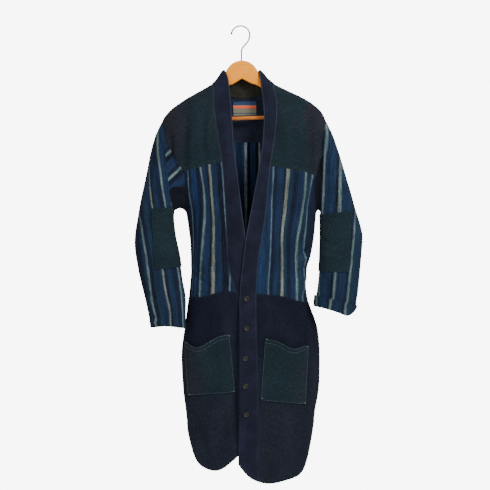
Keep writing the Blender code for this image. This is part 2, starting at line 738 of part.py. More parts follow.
def build_hanger():
    """The flat wooden body and the round bar between its ends, both tilted about the shank."""
    tilted = bpy.data.objects.new("hanger_tilt", None)
    tilted.location = (0, 0, HANGER_TOP * MM)
    tilted.rotation_euler = (0, -HANGER_TILT, 0)
    bpy.context.scene.collection.objects.link(tilted)

    work = bmesh.new()
    half = WOOD_THICKNESS / 2
    face = work.faces.new([work.verts.new((x, -half, z - HANGER_TOP)) for x, z in hanger_outline()])
    grown = bmesh.ops.extrude_face_region(work, geom=[face])
    moved = [item for item in grown["geom"] if isinstance(item, bmesh.types.BMVert)]
    bmesh.ops.translate(work, verts=moved, vec=(0, WOOD_THICKNESS, 0))
    bmesh.ops.recalc_face_normals(work, faces=work.faces)
    body = add_object("hanger_body", mesh_from("hanger_body", work), WOOD)
    rounding = body.modifiers.new("rounding", "BEVEL")
    rounding.width = WOOD_ROUNDING * MM
    rounding.segments = 2
    rounding.limit_method = "ANGLE"
    rounding.angle_limit = math.radians(60)
    body.parent = tilted

    work = bmesh.new()
    bmesh.ops.create_cone(
        work, cap_ends=True, segments=12, radius1=BAR_RADIUS, radius2=BAR_RADIUS,
        depth=2 * BAR_HALF_LENGTH)
    bar = add_object("hanger_bar", mesh_from("hanger_bar", work), BAR_WOOD)
    bar.rotation_euler = (0, math.pi / 2, 0)
    bar.location = (0, 0, (BAR_HEIGHT - HANGER_TOP) * MM)
    bar.parent = tilted


def build_fronts():
    """Both fronts: neck bands, yokes, striped panels, skirts and pockets. Returns the panels."""
    sheets = {}
    sides = (
        ("right", right_edge, RIGHT_BAND_SEAM, RIGHT_BAND_EDGE, RIGHT_YOKE_SEAM, RIGHT_WAIST, RIGHT_HEM),
        ("left", left_edge, LEFT_BAND_SEAM, LEFT_BAND_EDGE, LEFT_YOKE_SEAM, LEFT_WAIST, LEFT_HEM),
    )
    for name, outer, seam, edge, yoke_seam, waist, hem in sides:
        stand_out = lap if name == "left" else None

        def between(start, end, lines, rows, columns):
            ends = (start, end) if name == "right" else (end, start)
            return panel("front", *ends, lines, rows, columns, stand_out)

        def band_outside(z):
            return np.where(z > NECK + 1e-6, outer(z), seam(z))

        body_lines = [level(NECK), level(SHOULDER_TIP), yoke_seam, level(UNDERARM), waist, hem]
        body_rows = [SHOULDER_ROWS, FRONT_ARMHOLE_ROWS, FRONT_CHEST_ROWS, WAIST_ROWS, SKIRT_ROWS]
        yoke = between(outer, seam, body_lines[:3], body_rows[:2], FRONT_COLUMNS)
        striped = between(outer, seam, body_lines[2:5], body_rows[2:4], FRONT_COLUMNS)
        skirt = between(outer, seam, body_lines[4:], body_rows[4:], FRONT_COLUMNS)
        band = between(
            band_outside, edge, [level(COLLAR_TOP)] + body_lines, [COLLAR_ROWS] + body_rows,
            BAND_COLUMNS)
        wall(f"yoke_front_{name}", yoke, COTTON, GREEN_TWEED)
        wall(f"front_{name}", striped, COTTON, STRIPED_COTTON)
        wall(f"skirt_front_{name}", skirt, SASHIKO, NAVY_SASHIKO)
        wall(f"neck_band_{name}", band, BAND, NAVY_COTTON)
        sheets[name] = {"yoke": yoke, "striped": striped, "skirt": skirt}
    for name, corners, sag in (
        ("right", RIGHT_POCKET, RIGHT_POCKET_SAG), ("left", LEFT_POCKET, LEFT_POCKET_SAG)):
        patch(
            f"pocket_{name}", sheets[name]["skirt"], cut_planes(corners), COTTON, GREEN_TWEED,
            pocket_shape(corners, sag))
    return sheets


def build_back():
    """The back: neck band, yoke with the label inside, striped panel and skirt. Returns the panels."""
    collar = panel(
        "back", right_edge, left_edge, [COLLAR_BACK_TOP, COLLAR_BACK_SEAM], [COLLAR_ROWS], BACK_COLUMNS)
    yoke = panel(
        "back", right_edge, left_edge, [COLLAR_BACK_SEAM, level(SHOULDER_TIP), level(BACK_YOKE)],
        [SHOULDER_ROWS, BACK_ARMHOLE_ROWS], BACK_COLUMNS)
    striped = panel(
        "back", right_edge, left_edge, [level(BACK_YOKE), level(UNDERARM), BACK_WAIST],
        [BACK_CHEST_ROWS, WAIST_ROWS], BACK_COLUMNS)
    skirt = panel("back", right_edge, left_edge, [BACK_WAIST, BACK_HEM], [SKIRT_ROWS], BACK_COLUMNS)
    wall("neck_band_back", collar, BAND, NAVY_COTTON)
    wall("yoke_back", yoke, COTTON, NAVY_COTTON)
    wall("back", striped, COTTON, STRIPED_COTTON)
    wall("skirt_back", skirt, SASHIKO, NAVY_SASHIKO)
    inside = yoke.moved_out(-COTTON).turned_over()
    patch("label", inside, cut_planes(LABEL), 1.0, LABEL_CLOTH)
    return {"yoke": yoke, "striped": striped}


def build_sleeve(name, outward, sections, armhole, cuff, first_apart, fronts, backs):
    """One sleeve with its gusset and, on the right, its underarm pieces. Returns the sleeve's sheet."""
    form = Tube(sections, SLEEVE_ROUNDNESS)
    column = 0 if name == "right" else -1
    loops, seams = {}, {}
    for side, sheets, upper_rows, lower_rows in (
        ("front", fronts[name], len(FRONT_ARMHOLE_ROWS), len(FRONT_CHEST_ROWS)),
        ("back", backs, len(BACK_ARMHOLE_ROWS), len(BACK_CHEST_ROWS)),
    ):
        loops[side] = armhole_loop(sheets["yoke"], sheets["striped"], upper_rows, lower_rows, column)
        seams[side] = sleeve_seam(form, armhole, loops[side][0], side, first_apart)
    count = len(seams["front"])
    sheet = sleeve_sheet(
        form, outward, (seams["front"], loops["front"][1]), (seams["back"], loops["back"][1]),
        cuff, first_apart)
    wall(f"sleeve_{name}", sheet, COTTON, STRIPED_COTTON, SLEEVE_SEAM)

    around = {"front": list(range(count)), "back": [0] + list(range(2 * count - 3, count - 2, -1))}
    rows = {}
    for side, sign in (("front", 1), ("back", -1)):
        reach = np.clip((np.arange(count) - ARCH_START) / (count - 1 - ARCH_START), 0, 1)
        arch = ease(reach) * math.pi / 2
        rows[side] = (
            seams[side], sheet.normals[0, around[side]], loops[side][0], loops[side][1],
            arch if sign == 1 else math.pi - arch)

    def piece(side, first, last):
        return [part[first:last] for part in rows[side]]

    gusset_start = RIGHT_GUSSET_START if name == "right" else first_apart
    front, back = piece("front", gusset_start, None), piece("back", gusset_start, None)
    gusset = strip_sheet(*(np.concatenate([f, b[-2::-1]]) for f, b in zip(front, back)))
    wall(f"gusset_{name}", gusset, COTTON, NAVY_COTTON, SLEEVE_SEAM)
    if gusset_start > first_apart:
        for side in ("front", "back"):
            strip = strip_sheet(*piece(side, first_apart, gusset_start + 1))
            wall(f"underarm_{side}_{name}", strip, COTTON, STRIPED_COTTON, SLEEVE_SEAM)
    return sheet


def build_elbow_patch(name, sleeve, outward, corners):
    """A tweed patch that wraps round the sleeve's inner edge, so that side of it isn't cut."""
    outer_top, inner_top, inner_bottom, outer_bottom = corners
    middle = np.mean(corners, axis=0)
    planes = [
        edge_plane(outer_top, inner_top, middle),
        edge_plane(inner_bottom, outer_bottom, middle),
        edge_plane(outer_bottom, outer_top, middle, -outward * ELBOW_PATCH_LEAN),
    ]
    patch(name, sleeve, planes, COTTON, GREEN_TWEED)


def build_buttons():
    """The five buttons on the left band, each facing out from the cloth."""
    for number, (x, z) in enumerate(BUTTONS, 1):
        height, across = np.array(float(z)), np.array(float(x))
        turn = BODY_FORM.turn(across, height)
        out = BODY_FORM.normal(turn, height, "front")
        stand = folds(across, height, "front") + lap(across, height) + 2 * SEAM
        place = BODY_FORM.point(turn, height, "front") + out * stand
        button = lathe(f"button_{number}", BUTTON_PROFILE, BUTTON_STEPS, HORN)
        button.rotation_euler = Vector(out).to_track_quat("Z", "Y").to_euler()
        button.location = Vector(place) * MM


def main():
    """Clears the scene and builds the hanger, then the coat from the neck to the cuffs."""
    for thing in list(bpy.data.objects):
        bpy.data.objects.remove(thing, do_unlink=True)
    build_hook()
    build_hanger()
    fronts = build_fronts()
    backs = build_back()
    right = build_sleeve(
        "right", -1, RIGHT_SLEEVE, RIGHT_ARMHOLE, RIGHT_CUFF, RIGHT_STRIP_START, fronts, backs)
    left = build_sleeve(
        "left", 1, LEFT_SLEEVE, LEFT_ARMHOLE, LEFT_CUFF, LEFT_STRIP_START, fronts, backs)
    build_elbow_patch("elbow_patch_right", right, -1, RIGHT_ELBOW_PATCH)
    build_elbow_patch("elbow_patch_left", left, 1, LEFT_ELBOW_PATCH)
    patch("turned_cuff_left", left, [edge_plane(*TURNED_CUFF)], COTTON, STRIPED_COTTON)
    build_buttons()


main()
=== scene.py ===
"""A patchwork dogi coat on a wooden hanger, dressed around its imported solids."""
from __future__ import annotations

import json
import logging
import math
from collections.abc import Callable, Iterable, Sequence
from dataclasses import dataclass, field
from enum import Enum
from functools import reduce

import bmesh
import bpy
import numpy as np
from mathutils import Matrix, Vector, noise
from mathutils.bvhtree import BVHTree
from mathutils.kdtree import KDTree

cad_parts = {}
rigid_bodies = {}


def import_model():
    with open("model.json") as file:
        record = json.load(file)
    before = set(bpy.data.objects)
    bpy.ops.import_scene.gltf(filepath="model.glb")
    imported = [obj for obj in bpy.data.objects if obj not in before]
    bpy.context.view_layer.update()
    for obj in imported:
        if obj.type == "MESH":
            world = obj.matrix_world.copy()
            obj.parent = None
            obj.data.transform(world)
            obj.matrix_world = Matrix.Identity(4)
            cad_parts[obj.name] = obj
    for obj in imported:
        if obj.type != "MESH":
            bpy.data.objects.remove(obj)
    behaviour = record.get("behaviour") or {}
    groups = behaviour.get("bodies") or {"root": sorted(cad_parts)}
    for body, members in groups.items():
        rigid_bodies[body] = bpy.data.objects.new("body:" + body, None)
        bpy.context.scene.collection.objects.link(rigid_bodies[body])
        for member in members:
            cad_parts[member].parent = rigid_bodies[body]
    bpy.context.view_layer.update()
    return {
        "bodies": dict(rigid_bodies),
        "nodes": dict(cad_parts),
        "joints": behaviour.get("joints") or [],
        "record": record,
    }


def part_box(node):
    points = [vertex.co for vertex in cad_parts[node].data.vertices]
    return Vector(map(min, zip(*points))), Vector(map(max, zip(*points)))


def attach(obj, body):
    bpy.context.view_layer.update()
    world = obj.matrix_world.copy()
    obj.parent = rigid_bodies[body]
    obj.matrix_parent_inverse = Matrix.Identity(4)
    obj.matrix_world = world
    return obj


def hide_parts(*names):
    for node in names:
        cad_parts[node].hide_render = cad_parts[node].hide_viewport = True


LOG = logging.getLogger("dogi_coat")

MM = 0.001
PIXEL = 2.65 * MM           # one pixel of the photograph
MIDDLE_PIXEL = 241.3        # the hook's shank in the photograph
TOP_PIXEL = 26.6            # the hook's top in the photograph

COTTON = 2.0 * MM           # wall of the striped cotton, the tweed and the navy yoke
SASHIKO = 2.4 * MM          # wall of the stitched navy skirt
BAND = 3.0 * MM             # wall of the folded neck band
LABEL_WALL = 1.0 * MM
LAYER_GAP = 0.3 * MM        # air between a second layer and the cloth below it
SAME = 0.01 * MM            # points closer than this are one
WELD = 3.4 * MM             # how far apart edges are that one seam joins
NARROW_REACH = 8 * MM       # how far a narrow piece's loose edge moves to the next piece
REACH = 2.6 * MM            # how far the neck band's loose edge does
LEVELS = 3                  # subdivisions of the coat's skin
SHORTEST = 5                # the fewest points that a row of stitches follows
TILT = math.radians(-2.0)   # how the hanger hangs
HEM_SLANT = 40 * MM         # a sleeve's lower edge is within this of its lowest point
SECTION_STEP = 2 * MM       # from one measured section of a sleeve to the next

Colour = tuple[float, float, float, float]
Socket = bpy.types.NodeSocket
Input = Socket | float | tuple
Place = tuple[float, float]
Edge = tuple[int, int]
Matches = dict[float, float]


def tone(red: float, green: float, blue: float) -> Colour:
    """Turn a colour given as 0 to 255, as on a screen, into the linear one that shaders use.

    Args:
        red: Red, 0 to 255.
        green: Green, 0 to 255.
        blue: Blue, 0 to 255.

    Returns:
        The linear colour with full alpha.
    """
    shares = np.array((red, green, blue)) / 255
    linear = np.where(shares <= 0.04045, shares / 12.92, ((shares + 0.055) / 1.055) ** 2.4)
    return (*linear.tolist(), 1.0)


def soft_step(low: float, high: float, value: np.ndarray) -> np.ndarray:
    """Rise smoothly from 0 at the low end to 1 at the high one."""
    share = np.clip((value - low) / (high - low), 0, 1)
    return share * share * (3 - 2 * share)


def unit(ways: np.ndarray) -> np.ndarray:
    """Give vectors the length 1."""
    return ways / np.maximum(np.linalg.norm(ways, axis=-1, keepdims=True), 1e-15)


def lengths(points: np.ndarray) -> np.ndarray:
    """Measure how far along a line each of its points is."""
    return np.concatenate([[0], np.cumsum(np.linalg.norm(np.diff(points, axis=0), axis=1))])


def rounded(corners: np.ndarray, steps: int = 6) -> np.ndarray:
    """Lay a smooth path through corners.

    Args:
        corners: The corners, as rows.
        steps: How many points lie between two of them.

    Returns:
        The path.
    """
    padded = np.concatenate([[2 * corners[0] - corners[1]], corners, [2 * corners[-1] - corners[-2]]])
    found = []
    for before, start, end, after in zip(padded, padded[1:], padded[2:], padded[3:]):
        for share in np.arange(steps) / steps:
            found.append(0.5 * (
                2 * start + (end - before) * share + (2 * before - 5 * start + 4 * end - after) * share ** 2
                + (3 * start - before - 3 * end + after) * share ** 3))
    return np.array(found + [corners[-1]])


def photo_path(path: Sequence[Place]) -> np.ndarray:
    """Turn the photograph's pixels into a smooth path in x and z."""
    return rounded(np.array([
        ((across - MIDDLE_PIXEL) * PIXEL, (TOP_PIXEL - down) * PIXEL) for across, down in path]))


def between(at: float | np.ndarray, steps: np.ndarray, rows: np.ndarray) -> np.ndarray:
    """Read rows of three numbers between the steps at which they are known."""
    return np.stack([np.interp(at, steps, rows[:, axis]) for axis in range(3)], axis=-1)


def softened(rows: np.ndarray) -> np.ndarray:
    """Even out rows of numbers, all but the first and the last one.

    Args:
        rows: The rows.

    Returns:
        A copy of them, evened out.
    """
    rows = rows.copy()
    for _ in range(3):
        rows[1:-1] = (rows[:-2] + 2 * rows[1:-1] + rows[2:]) / 4
    return rows


def tree_of(points: Sequence[Sequence[float]]) -> KDTree:
    """Make a search tree of points.

    Args:
        points: The points.

    Returns:
        The tree, which finds them by their numbers.
    """
    tree = KDTree(len(points))
    for number, point in enumerate(points):
        tree.insert(point, number)
    tree.balance()
    return tree


def tube_faces(rings: int, sides: int) -> list[list[int]]:
    """List the faces of a closed tube whose points are given ring by ring.

    Args:
        rings: How many rings it has.
        sides: How many points each of them has.

    Returns:
        The faces.
    """
    faces = [
        [base + side, base + sides + side, base + sides + (side + 1) % sides, base + (side + 1) % sides]
        for base in range(0, (rings - 1) * sides, sides) for side in range(sides)]
    last = (rings - 1) * sides
    return faces + [list(range(sides)), [last + side for side in reversed(range(sides))]]


def show_only(thing: bpy.types.Object | None = None) -> None:
    """Deselect everything but one object, if any, and make that the active one.

    Args:
        thing: The object.
    """
    for other in bpy.context.selected_objects:
        other.select_set(False)
    if thing is not None:
        thing.select_set(True)
        bpy.context.view_layer.objects.active = thing


def new_object(
        name: str, points: np.ndarray, faces: Sequence[Sequence[int]],
        cloth: Sequence[Place] | None = None) -> bpy.types.Object:
    """Make a mesh object in the scene.

    Args:
        name: Its name.
        points: Its points.
        faces: Its faces, as numbers of points.
        cloth: The cloth coordinates of all faces' corners, in order.

    Returns:
        The object.
    """
    mesh = bpy.data.meshes.new(name)
    mesh.from_pydata(np.asarray(points).tolist(), [], [list(corners) for corners in faces])
    if cloth is not None:
        layer = mesh.uv_layers.new(name="cloth")
        layer.data.foreach_set("uv", np.asarray(cloth, dtype=np.float32).ravel())
    mesh.update()
    thing = bpy.data.objects.new(name, mesh)
    bpy.context.scene.collection.objects.link(thing)
    return thing


def finish_piece(
        thing: bpy.types.Object, look: bpy.types.Material, node: str = "",
        sharp: float = 0.0) -> None:
    """Give a finished piece its material and tell the frame about it.

    Args:
        thing: The piece.
        look: Its material.
        node: The CAD node that it replaces, if any.
        sharp: The angle in degrees from which edges stay sharp, or 0 where none does.
    """
    thing.data.materials.append(look)
    if sharp:
        show_only(thing)
        bpy.ops.object.shade_smooth_by_angle(angle=math.radians(sharp))
    else:
        thing.data.shade_smooth()
    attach(thing, "root")
    if node:
        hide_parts(node)


class Paint:
    """A material's nodes, added one call at a time."""

    def __init__(self, name: str) -> None:
        """Start an empty material with a shader and its output.

        Args:
            name: The material's name.
        """
        self.material = bpy.data.materials.new(name)
        self.material.use_nodes = True
        self.tree = self.material.node_tree
        self.tree.nodes.clear()
        self.shader = self.node("BsdfPrincipled")
        self.node("OutputMaterial", self.shader.outputs["BSDF"])

    def put(self, socket: Socket, value: Input) -> None:
        """Link a socket into an input, or set a constant on it.

        Args:
            socket: The input.
            value: The socket or the constant.
        """
        if isinstance(value, bpy.types.NodeSocket):
            self.tree.links.new(value, socket)
        else:
            socket.default_value = value

    def node(self, kind: str, *values: Input, **settings: object) -> bpy.types.Node:
        """Add a node.

        Args:
            kind: Its type.
            values: Its first inputs.
            settings: Its properties.

        Returns:
            The node.
        """
        node = self.tree.nodes.new(f"ShaderNode{kind}")
        for name, value in settings.items():
            setattr(node, name, value)
        for socket, value in zip(node.inputs, values):
            self.put(socket, value)
        return node

    def sum(self, operation: str, *values: Input, clamp: bool = False) -> Socket:
        """Do one sum on numbers, kept between 0 and 1 where it is clamped."""
        return self.node("Math", *values, operation=operation, use_clamp=clamp).outputs[0]

    def product(self, *values: Input) -> Socket:
        """Multiply numbers."""
        return reduce(lambda one, two: self.sum("MULTIPLY", one, two), values)

    def vector(self, operation: str, *values: Input) -> Socket:
        """Do one sum on vectors."""
        return self.node("VectorMath", *values, operation=operation).outputs[0]

    def place(self) -> Socket:
        """Return the object's own coordinates, in metres."""
        return self.node("TexCoord").outputs["Object"]

    def cloth(self) -> Socket:
        """Return the cloth coordinates, metres across and along the grain."""
        return self.node("UVMap", uv_map="cloth").outputs["UV"]

    def carried(self, name: str) -> Socket:
        """Return a number that the mesh carries at each point."""
        return self.node("Attribute", attribute_name=name).outputs["Fac"]

    def split(self, vector: Socket) -> Sequence[Socket]:
        """Take a vector apart."""
        return self.node("SeparateXYZ", vector).outputs[:]

    def cloud(
            self, at: Socket, size: float | tuple[float, ...], detail: float = 2.0,
            rough: float = 0.5) -> Socket:
        """Add smooth noise.

        Args:
            at: Where it is read.
            size: How many grains it has to a metre, all over or along each axis.
            detail: How many finer layers lie on it.
            rough: How strong those are.

        Returns:
            Its value, around 0.5.
        """
        if isinstance(size, tuple):
            at = self.vector("MULTIPLY", at, (*size, 1.0)[:3])
            size = 1.0
        return self.node("TexNoise", at, 0.0, size, detail, rough).outputs["Fac"]

    def spread(self, value: Socket, low: float, high: float, start: float = 0.0, end: float = 1.0) -> Socket:
        """Map the range from low to high onto the one from start to end, clamped."""
        return self.node("MapRange", value, low, high, start, end).outputs[0]

    def vary(self, cloud: Socket, start: float, end: float) -> Socket:
        """Turn noise into a factor."""
        return self.spread(cloud, 0.3, 0.7, start, end)

    def centred(self, cloud: Socket, weight: float) -> Socket:
        """Turn noise into a number around 0."""
        return self.sum("MULTIPLY_ADD", cloud, weight, -weight / 2)

    def every(self, value: Socket, pitch: float, inner: float, outer: float) -> Socket:
        """Repeat a soft band.

        Args:
            value: The coordinate across the bands.
            pitch: From one band to the next.
            inner: Half of a band's full part, as a share of the pitch.
            outer: Half of the whole band.

        Returns:
            1 on the bands, 0 between them.
        """
        turn = self.sum("FRACT", self.sum("DIVIDE", value, pitch))
        away = self.sum("ABSOLUTE", self.sum("SUBTRACT", turn, 0.5))
        return self.spread(away, inner, outer, 1.0, 0.0)

    def ramp(self, value: Socket, stops: Sequence[tuple[float, Colour]]) -> Socket:
        """Colour a number from 0 to 1 by stops in rising order.

        Args:
            value: The number.
            stops: Places and their colours.

        Returns:
            The colour.
        """
        node = self.node("ValToRGB", value)
        elements = node.color_ramp.elements
        while len(elements) < len(stops):
            elements.new(1.0)
        for element, (position, colour) in zip(elements, stops):
            element.position = position
            element.color = colour
        return node.outputs[0]

    def mix(self, share: Input, first: Input, second: Input, blend: str = "MIX") -> Socket:
        """Mix two colours.

        Args:
            share: How much of the second shows.
            first: The first colour.
            second: The second colour.
            blend: The way they mix.

        Returns:
            The mixed colour.
        """
        node = self.node("Mix", share, data_type="RGBA", blend_type=blend)
        self.put(node.inputs[6], first)
        self.put(node.inputs[7], second)
        return node.outputs[2]

    def lighten(self, colour: Input, *factors: Socket) -> Socket:
        """Multiply a colour by numbers."""
        factor = self.product(*factors)
        return self.mix(1.0, colour, self.node("CombineXYZ", factor, factor, factor).outputs[0], "MULTIPLY")

    def woven(self, threads: float, share: float, other: Socket, weight: float) -> Socket:
        """Add a plain weave to another height.

        Args:
            threads: Threads to a metre each way.
            share: How much the weave counts.
            other: The other height.
            weight: How much that counts.

        Returns:
            The height.
        """
        waves = [
            self.sum("SINE", self.product(way, math.pi * threads)) for way in self.split(self.cloth())[:2]]
        weave = self.sum("MULTIPLY_ADD", self.product(*waves), share / 2, share / 2)
        return self.sum("MULTIPLY_ADD", other, weight, weave)

    def finish(
            self, colour: Input, roughness: Input, height: Socket | None = None, depth: float = 0.0,
            **constants: float) -> bpy.types.Material:
        """Connect the shader.

        Args:
            colour: The base colour.
            roughness: The roughness.
            height: The relief, around 0 to 1, if any.
            depth: How deep that is, in metres.
            constants: Other shader inputs by name, with spaces as underlines.

        Returns:
            The material.
        """
        self.put(self.shader.inputs["Base Color"], colour)
        self.put(self.shader.inputs["Roughness"], roughness)
        if height is not None:
            bump = self.node("Bump")
            bump.inputs["Strength"].default_value = 1.0
            bump.inputs["Distance"].default_value = depth
            self.put(bump.inputs["Height"], height)
            self.put(self.shader.inputs["Normal"], bump.outputs["Normal"])
        for name, value in constants.items():
            self.shader.inputs[name.replace("_", " ")].default_value = value
        return self.material


INK = tone(14, 20, 36)
NIGHT = tone(9, 12, 22)
BLUE = tone(19, 33, 54)
BRIGHT = tone(19, 37, 66)
TEAL = tone(21, 38, 52)
BEIGE = tone(98, 104, 94)
MOSS = tone(80, 96, 95)
MIST = tone(70, 88, 98)
# The next two are the back's blue and light stripe, made brighter than the fronts' colours: painted light
# against the shade inside the coat
LIT_BACK_BLUE = tone(30, 46, 74)
PALE = tone(122, 140, 148)


@dataclass(frozen=True)
class StripedCotton:
    """Old indigo cotton, striped along the warp, softened and faded by wear.

    Attributes:
        name: The material's name.
        period: After how many millimetres the zones repeat.
        zones: Where each colour starts, in millimetres across the cloth, and the colour.
        edge: How many millimetres a stripe's edge takes.
    """

    name: str
    period: float
    zones: tuple[tuple[float, Colour], ...]
    edge: float = 2.8

    def stops(self) -> list[tuple[float, Colour]]:
        """Turn the zones into the stops of a ramp with soft edges.

        Returns:
            The stops, as places from 0 to 1 and colours.
        """
        half = self.edge / 2 / self.period
        found = [(0.0, self.zones[0][1])]
        for (_, before), (start, after) in zip(self.zones, self.zones[1:]):
            place = start / self.period
            found += [(place - half, before), (place + half, after)]
        return found + [(1.0, self.zones[-1][1])]

    def build(self) -> bpy.types.Material:
        """Build the material.

        Returns:
            The material.
        """
        paint = Paint(self.name)
        cloth = paint.cloth()
        wander = paint.centred(paint.cloud(cloth, (90.0, 14.0)), 2.4 * MM)
        ragged = paint.centred(paint.cloud(cloth, (240.0, 70.0), 3.0, 0.6), 4.0 * MM)
        place = paint.sum("ADD", paint.split(cloth)[0], paint.sum("ADD", wander, ragged))
        stripes = paint.ramp(paint.sum("FRACT", paint.sum("DIVIDE", place, self.period * MM)), self.stops())
        rubbed = paint.cloud(cloth, (300.0, 30.0), 3.0, 0.7)
        stripes = paint.mix(paint.spread(rubbed, 0.44, 0.74, 0.0, 0.8), stripes, BLUE)
        yarns = paint.cloud(cloth, (620.0, 24.0), 3.0, 0.6)
        colour = paint.lighten(
            stripes, paint.vary(yarns, 0.62, 1.4), paint.vary(paint.cloud(cloth, (60.0, 700.0)), 0.84, 1.16),
            paint.vary(paint.cloud(paint.place(), 9.0, 3.0), 0.82, 1.22),
            paint.spread(paint.cloud(cloth, (260.0, 7.0), 3.0, 0.6), 0.32, 0.68, 0.72, 1.3),
            paint.vary(paint.cloud(cloth, (420.0, 200.0), 2.0, 0.7), 0.72, 1.3))
        return paint.finish(
            colour, 0.9, paint.woven(1000.0, 0.5, yarns, 0.9), 0.4 * MM, Sheen_Weight=0.015,
            Sheen_Roughness=0.5, Specular_IOR_Level=0.1)


@dataclass(frozen=True)
class Tweed:
    """Dark green wool with plum and grey yarns that gather where the mesh says so; on the front yokes' outer
    parts the mesh's plum share is partly painted shade.
    """

    name: str
    green: Colour
    plum: Colour
    fleck: Colour

    def build(self) -> bpy.types.Material:
        """Build the material.

        Returns:
            The material.
        """
        paint = Paint(self.name)
        cloth = paint.cloth()
        streaks = paint.centred(paint.cloud(cloth, (300.0, 22.0), 3.0, 0.65), 1.5)
        patches = paint.centred(paint.cloud(cloth, (26.0, 12.0), 3.0), 1.1)
        # The carried plum share is plum yarn, and on the front yokes' outer parts it is partly painted shade
        share = paint.sum("ADD", paint.sum("ADD", streaks, patches), paint.carried("plum"))
        base = paint.mix(paint.spread(share, 0.25, 0.75), self.green, self.plum)
        specks = paint.cloud(cloth, (700.0, 260.0), 2.0, 0.7)
        base = paint.mix(paint.spread(specks, 0.6, 0.75, 0.0, 0.4), base, self.fleck)
        colour = paint.lighten(
            base, paint.spread(specks, 0.25, 0.75, 0.6, 1.4),
            paint.vary(paint.cloud(cloth, (380.0, 120.0), 3.0, 0.7), 0.6, 1.42),
            paint.vary(paint.cloud(paint.place(), 14.0, 3.0), 0.85, 1.15))
        return paint.finish(
            colour, 0.95, paint.woven(620.0, 0.5, specks, 0.8), 0.5 * MM, Sheen_Weight=0.015,
            Sheen_Roughness=0.6, Specular_IOR_Level=0.08)


@dataclass(frozen=True)
class DobbyCotton:
    """Stitched navy cotton: slanting dashes that turn back at every column, paler lower down."""

    name: str
    ground: Colour
    dash: Colour
    low_ground: Colour
    low_dash: Colour
    column: float = 5.2 * MM
    pitch: float = 3.4 * MM

    def build(self) -> bpy.types.Material:
        """Build the material.

        Returns:
            The material.
        """
        paint = Paint(self.name)
        cloth = paint.cloth()
        across, along, _ = paint.split(cloth)
        slant = paint.sum("MULTIPLY_ADD", paint.sum("PINGPONG", across, self.column), 0.9, along)
        dash = paint.product(
            paint.every(slant, self.pitch, 0.12, 0.3), paint.every(across, self.column / 2, 0.3, 0.44))
        patches = paint.cloud(paint.place(), (16.0, 16.0, 9.0), 3.0)
        height = paint.split(paint.place())[2]
        lower = paint.sum("ADD", paint.spread(height, -0.78, -1.02), paint.centred(patches, 1.6), clamp=True)
        colour = paint.mix(
            paint.product(dash, 0.75), paint.mix(lower, self.ground, self.low_ground),
            paint.mix(lower, self.dash, self.low_dash))
        colour = paint.lighten(
            colour, paint.vary(paint.cloud(cloth, (700.0, 90.0), 3.0, 0.6), 0.66, 1.34),
            paint.vary(paint.cloud(cloth, (210.0, 120.0), 3.0, 0.7), 0.72, 1.3),
            paint.vary(patches, 0.88, 1.14))
        return paint.finish(
            colour, 0.92, paint.woven(900.0, 0.4, dash, 0.9), 0.5 * MM, Sheen_Weight=0.015,
            Sheen_Roughness=0.5, Specular_IOR_Level=0.08)


@dataclass(frozen=True)
class BandCotton:
    """Navy cotton of the neck band: a fine grid of running stitches, worn pale along its edges."""

    name: str
    ground: Colour
    stitch: Colour
    worn: Colour
    grid: float = 5.3 * MM
    dash: float = 3.1 * MM

    def line(self, paint: Paint, over: Socket, along: Socket) -> Socket:
        """Return 1 on the stitches of one set of the grid's lines.

        Args:
            paint: The material.
            over: The coordinate across the lines.
            along: The coordinate along them.

        Returns:
            The stitches.
        """
        steps = paint.sum("FRACT", paint.sum("DIVIDE", along, self.dash))
        lines = paint.every(over, self.grid, 0.06, 0.13)
        return paint.product(lines, paint.spread(steps, 0.42, 0.55, 1.0, 0.0))

    def build(self) -> bpy.types.Material:
        """Build the material.

        Returns:
            The material.
        """
        paint = Paint(self.name)
        cloth = paint.cloth()
        across, along, _ = paint.split(cloth)
        grid = paint.sum("MAXIMUM", self.line(paint, across, along), self.line(paint, along, across))
        yarns = paint.cloud(cloth, (600.0, 600.0), 3.0, 0.6)
        patches = paint.cloud(paint.place(), 22.0, 3.0)
        shown = paint.product(grid, paint.spread(patches, 0.38, 0.62, 0.2, 0.8))
        # The carried edge share is wear along the band's edges; lower down it is lessened as painted shade
        edge = paint.product(paint.carried("edge"), paint.spread(yarns, 0.35, 0.6, 0.35, 1.0))
        colour = paint.mix(edge, paint.mix(shown, self.ground, self.stitch), self.worn)
        return paint.finish(
            paint.lighten(colour, paint.vary(yarns, 0.75, 1.25), paint.vary(patches, 0.86, 1.14)), 0.9,
            paint.woven(900.0, 0.4, grid, 0.7), 0.4 * MM, Sheen_Weight=0.015, Sheen_Roughness=0.5,
            Specular_IOR_Level=0.1)


@dataclass(frozen=True)
class PlainCotton:
    """Plain woven cotton, slubby and unevenly dyed."""

    name: str
    ground: Colour
    slub: Colour

    def build(self) -> bpy.types.Material:
        """Build the material.

        Returns:
            The material.
        """
        paint = Paint(self.name)
        cloth = paint.cloth()
        yarns = paint.cloud(cloth, (420.0, 40.0), 3.0, 0.6)
        colour = paint.lighten(
            paint.mix(paint.spread(yarns, 0.45, 0.75, 0.0, 0.7), self.ground, self.slub),
            paint.vary(paint.cloud(cloth, (50.0, 520.0)), 0.8, 1.2),
            paint.vary(paint.cloud(paint.place(), 18.0, 3.0), 0.84, 1.16))
        return paint.finish(
            colour, 0.9, paint.woven(900.0, 0.5, yarns, 0.8), 0.4 * MM, Sheen_Weight=0.01,
            Sheen_Roughness=0.5, Specular_IOR_Level=0.1)


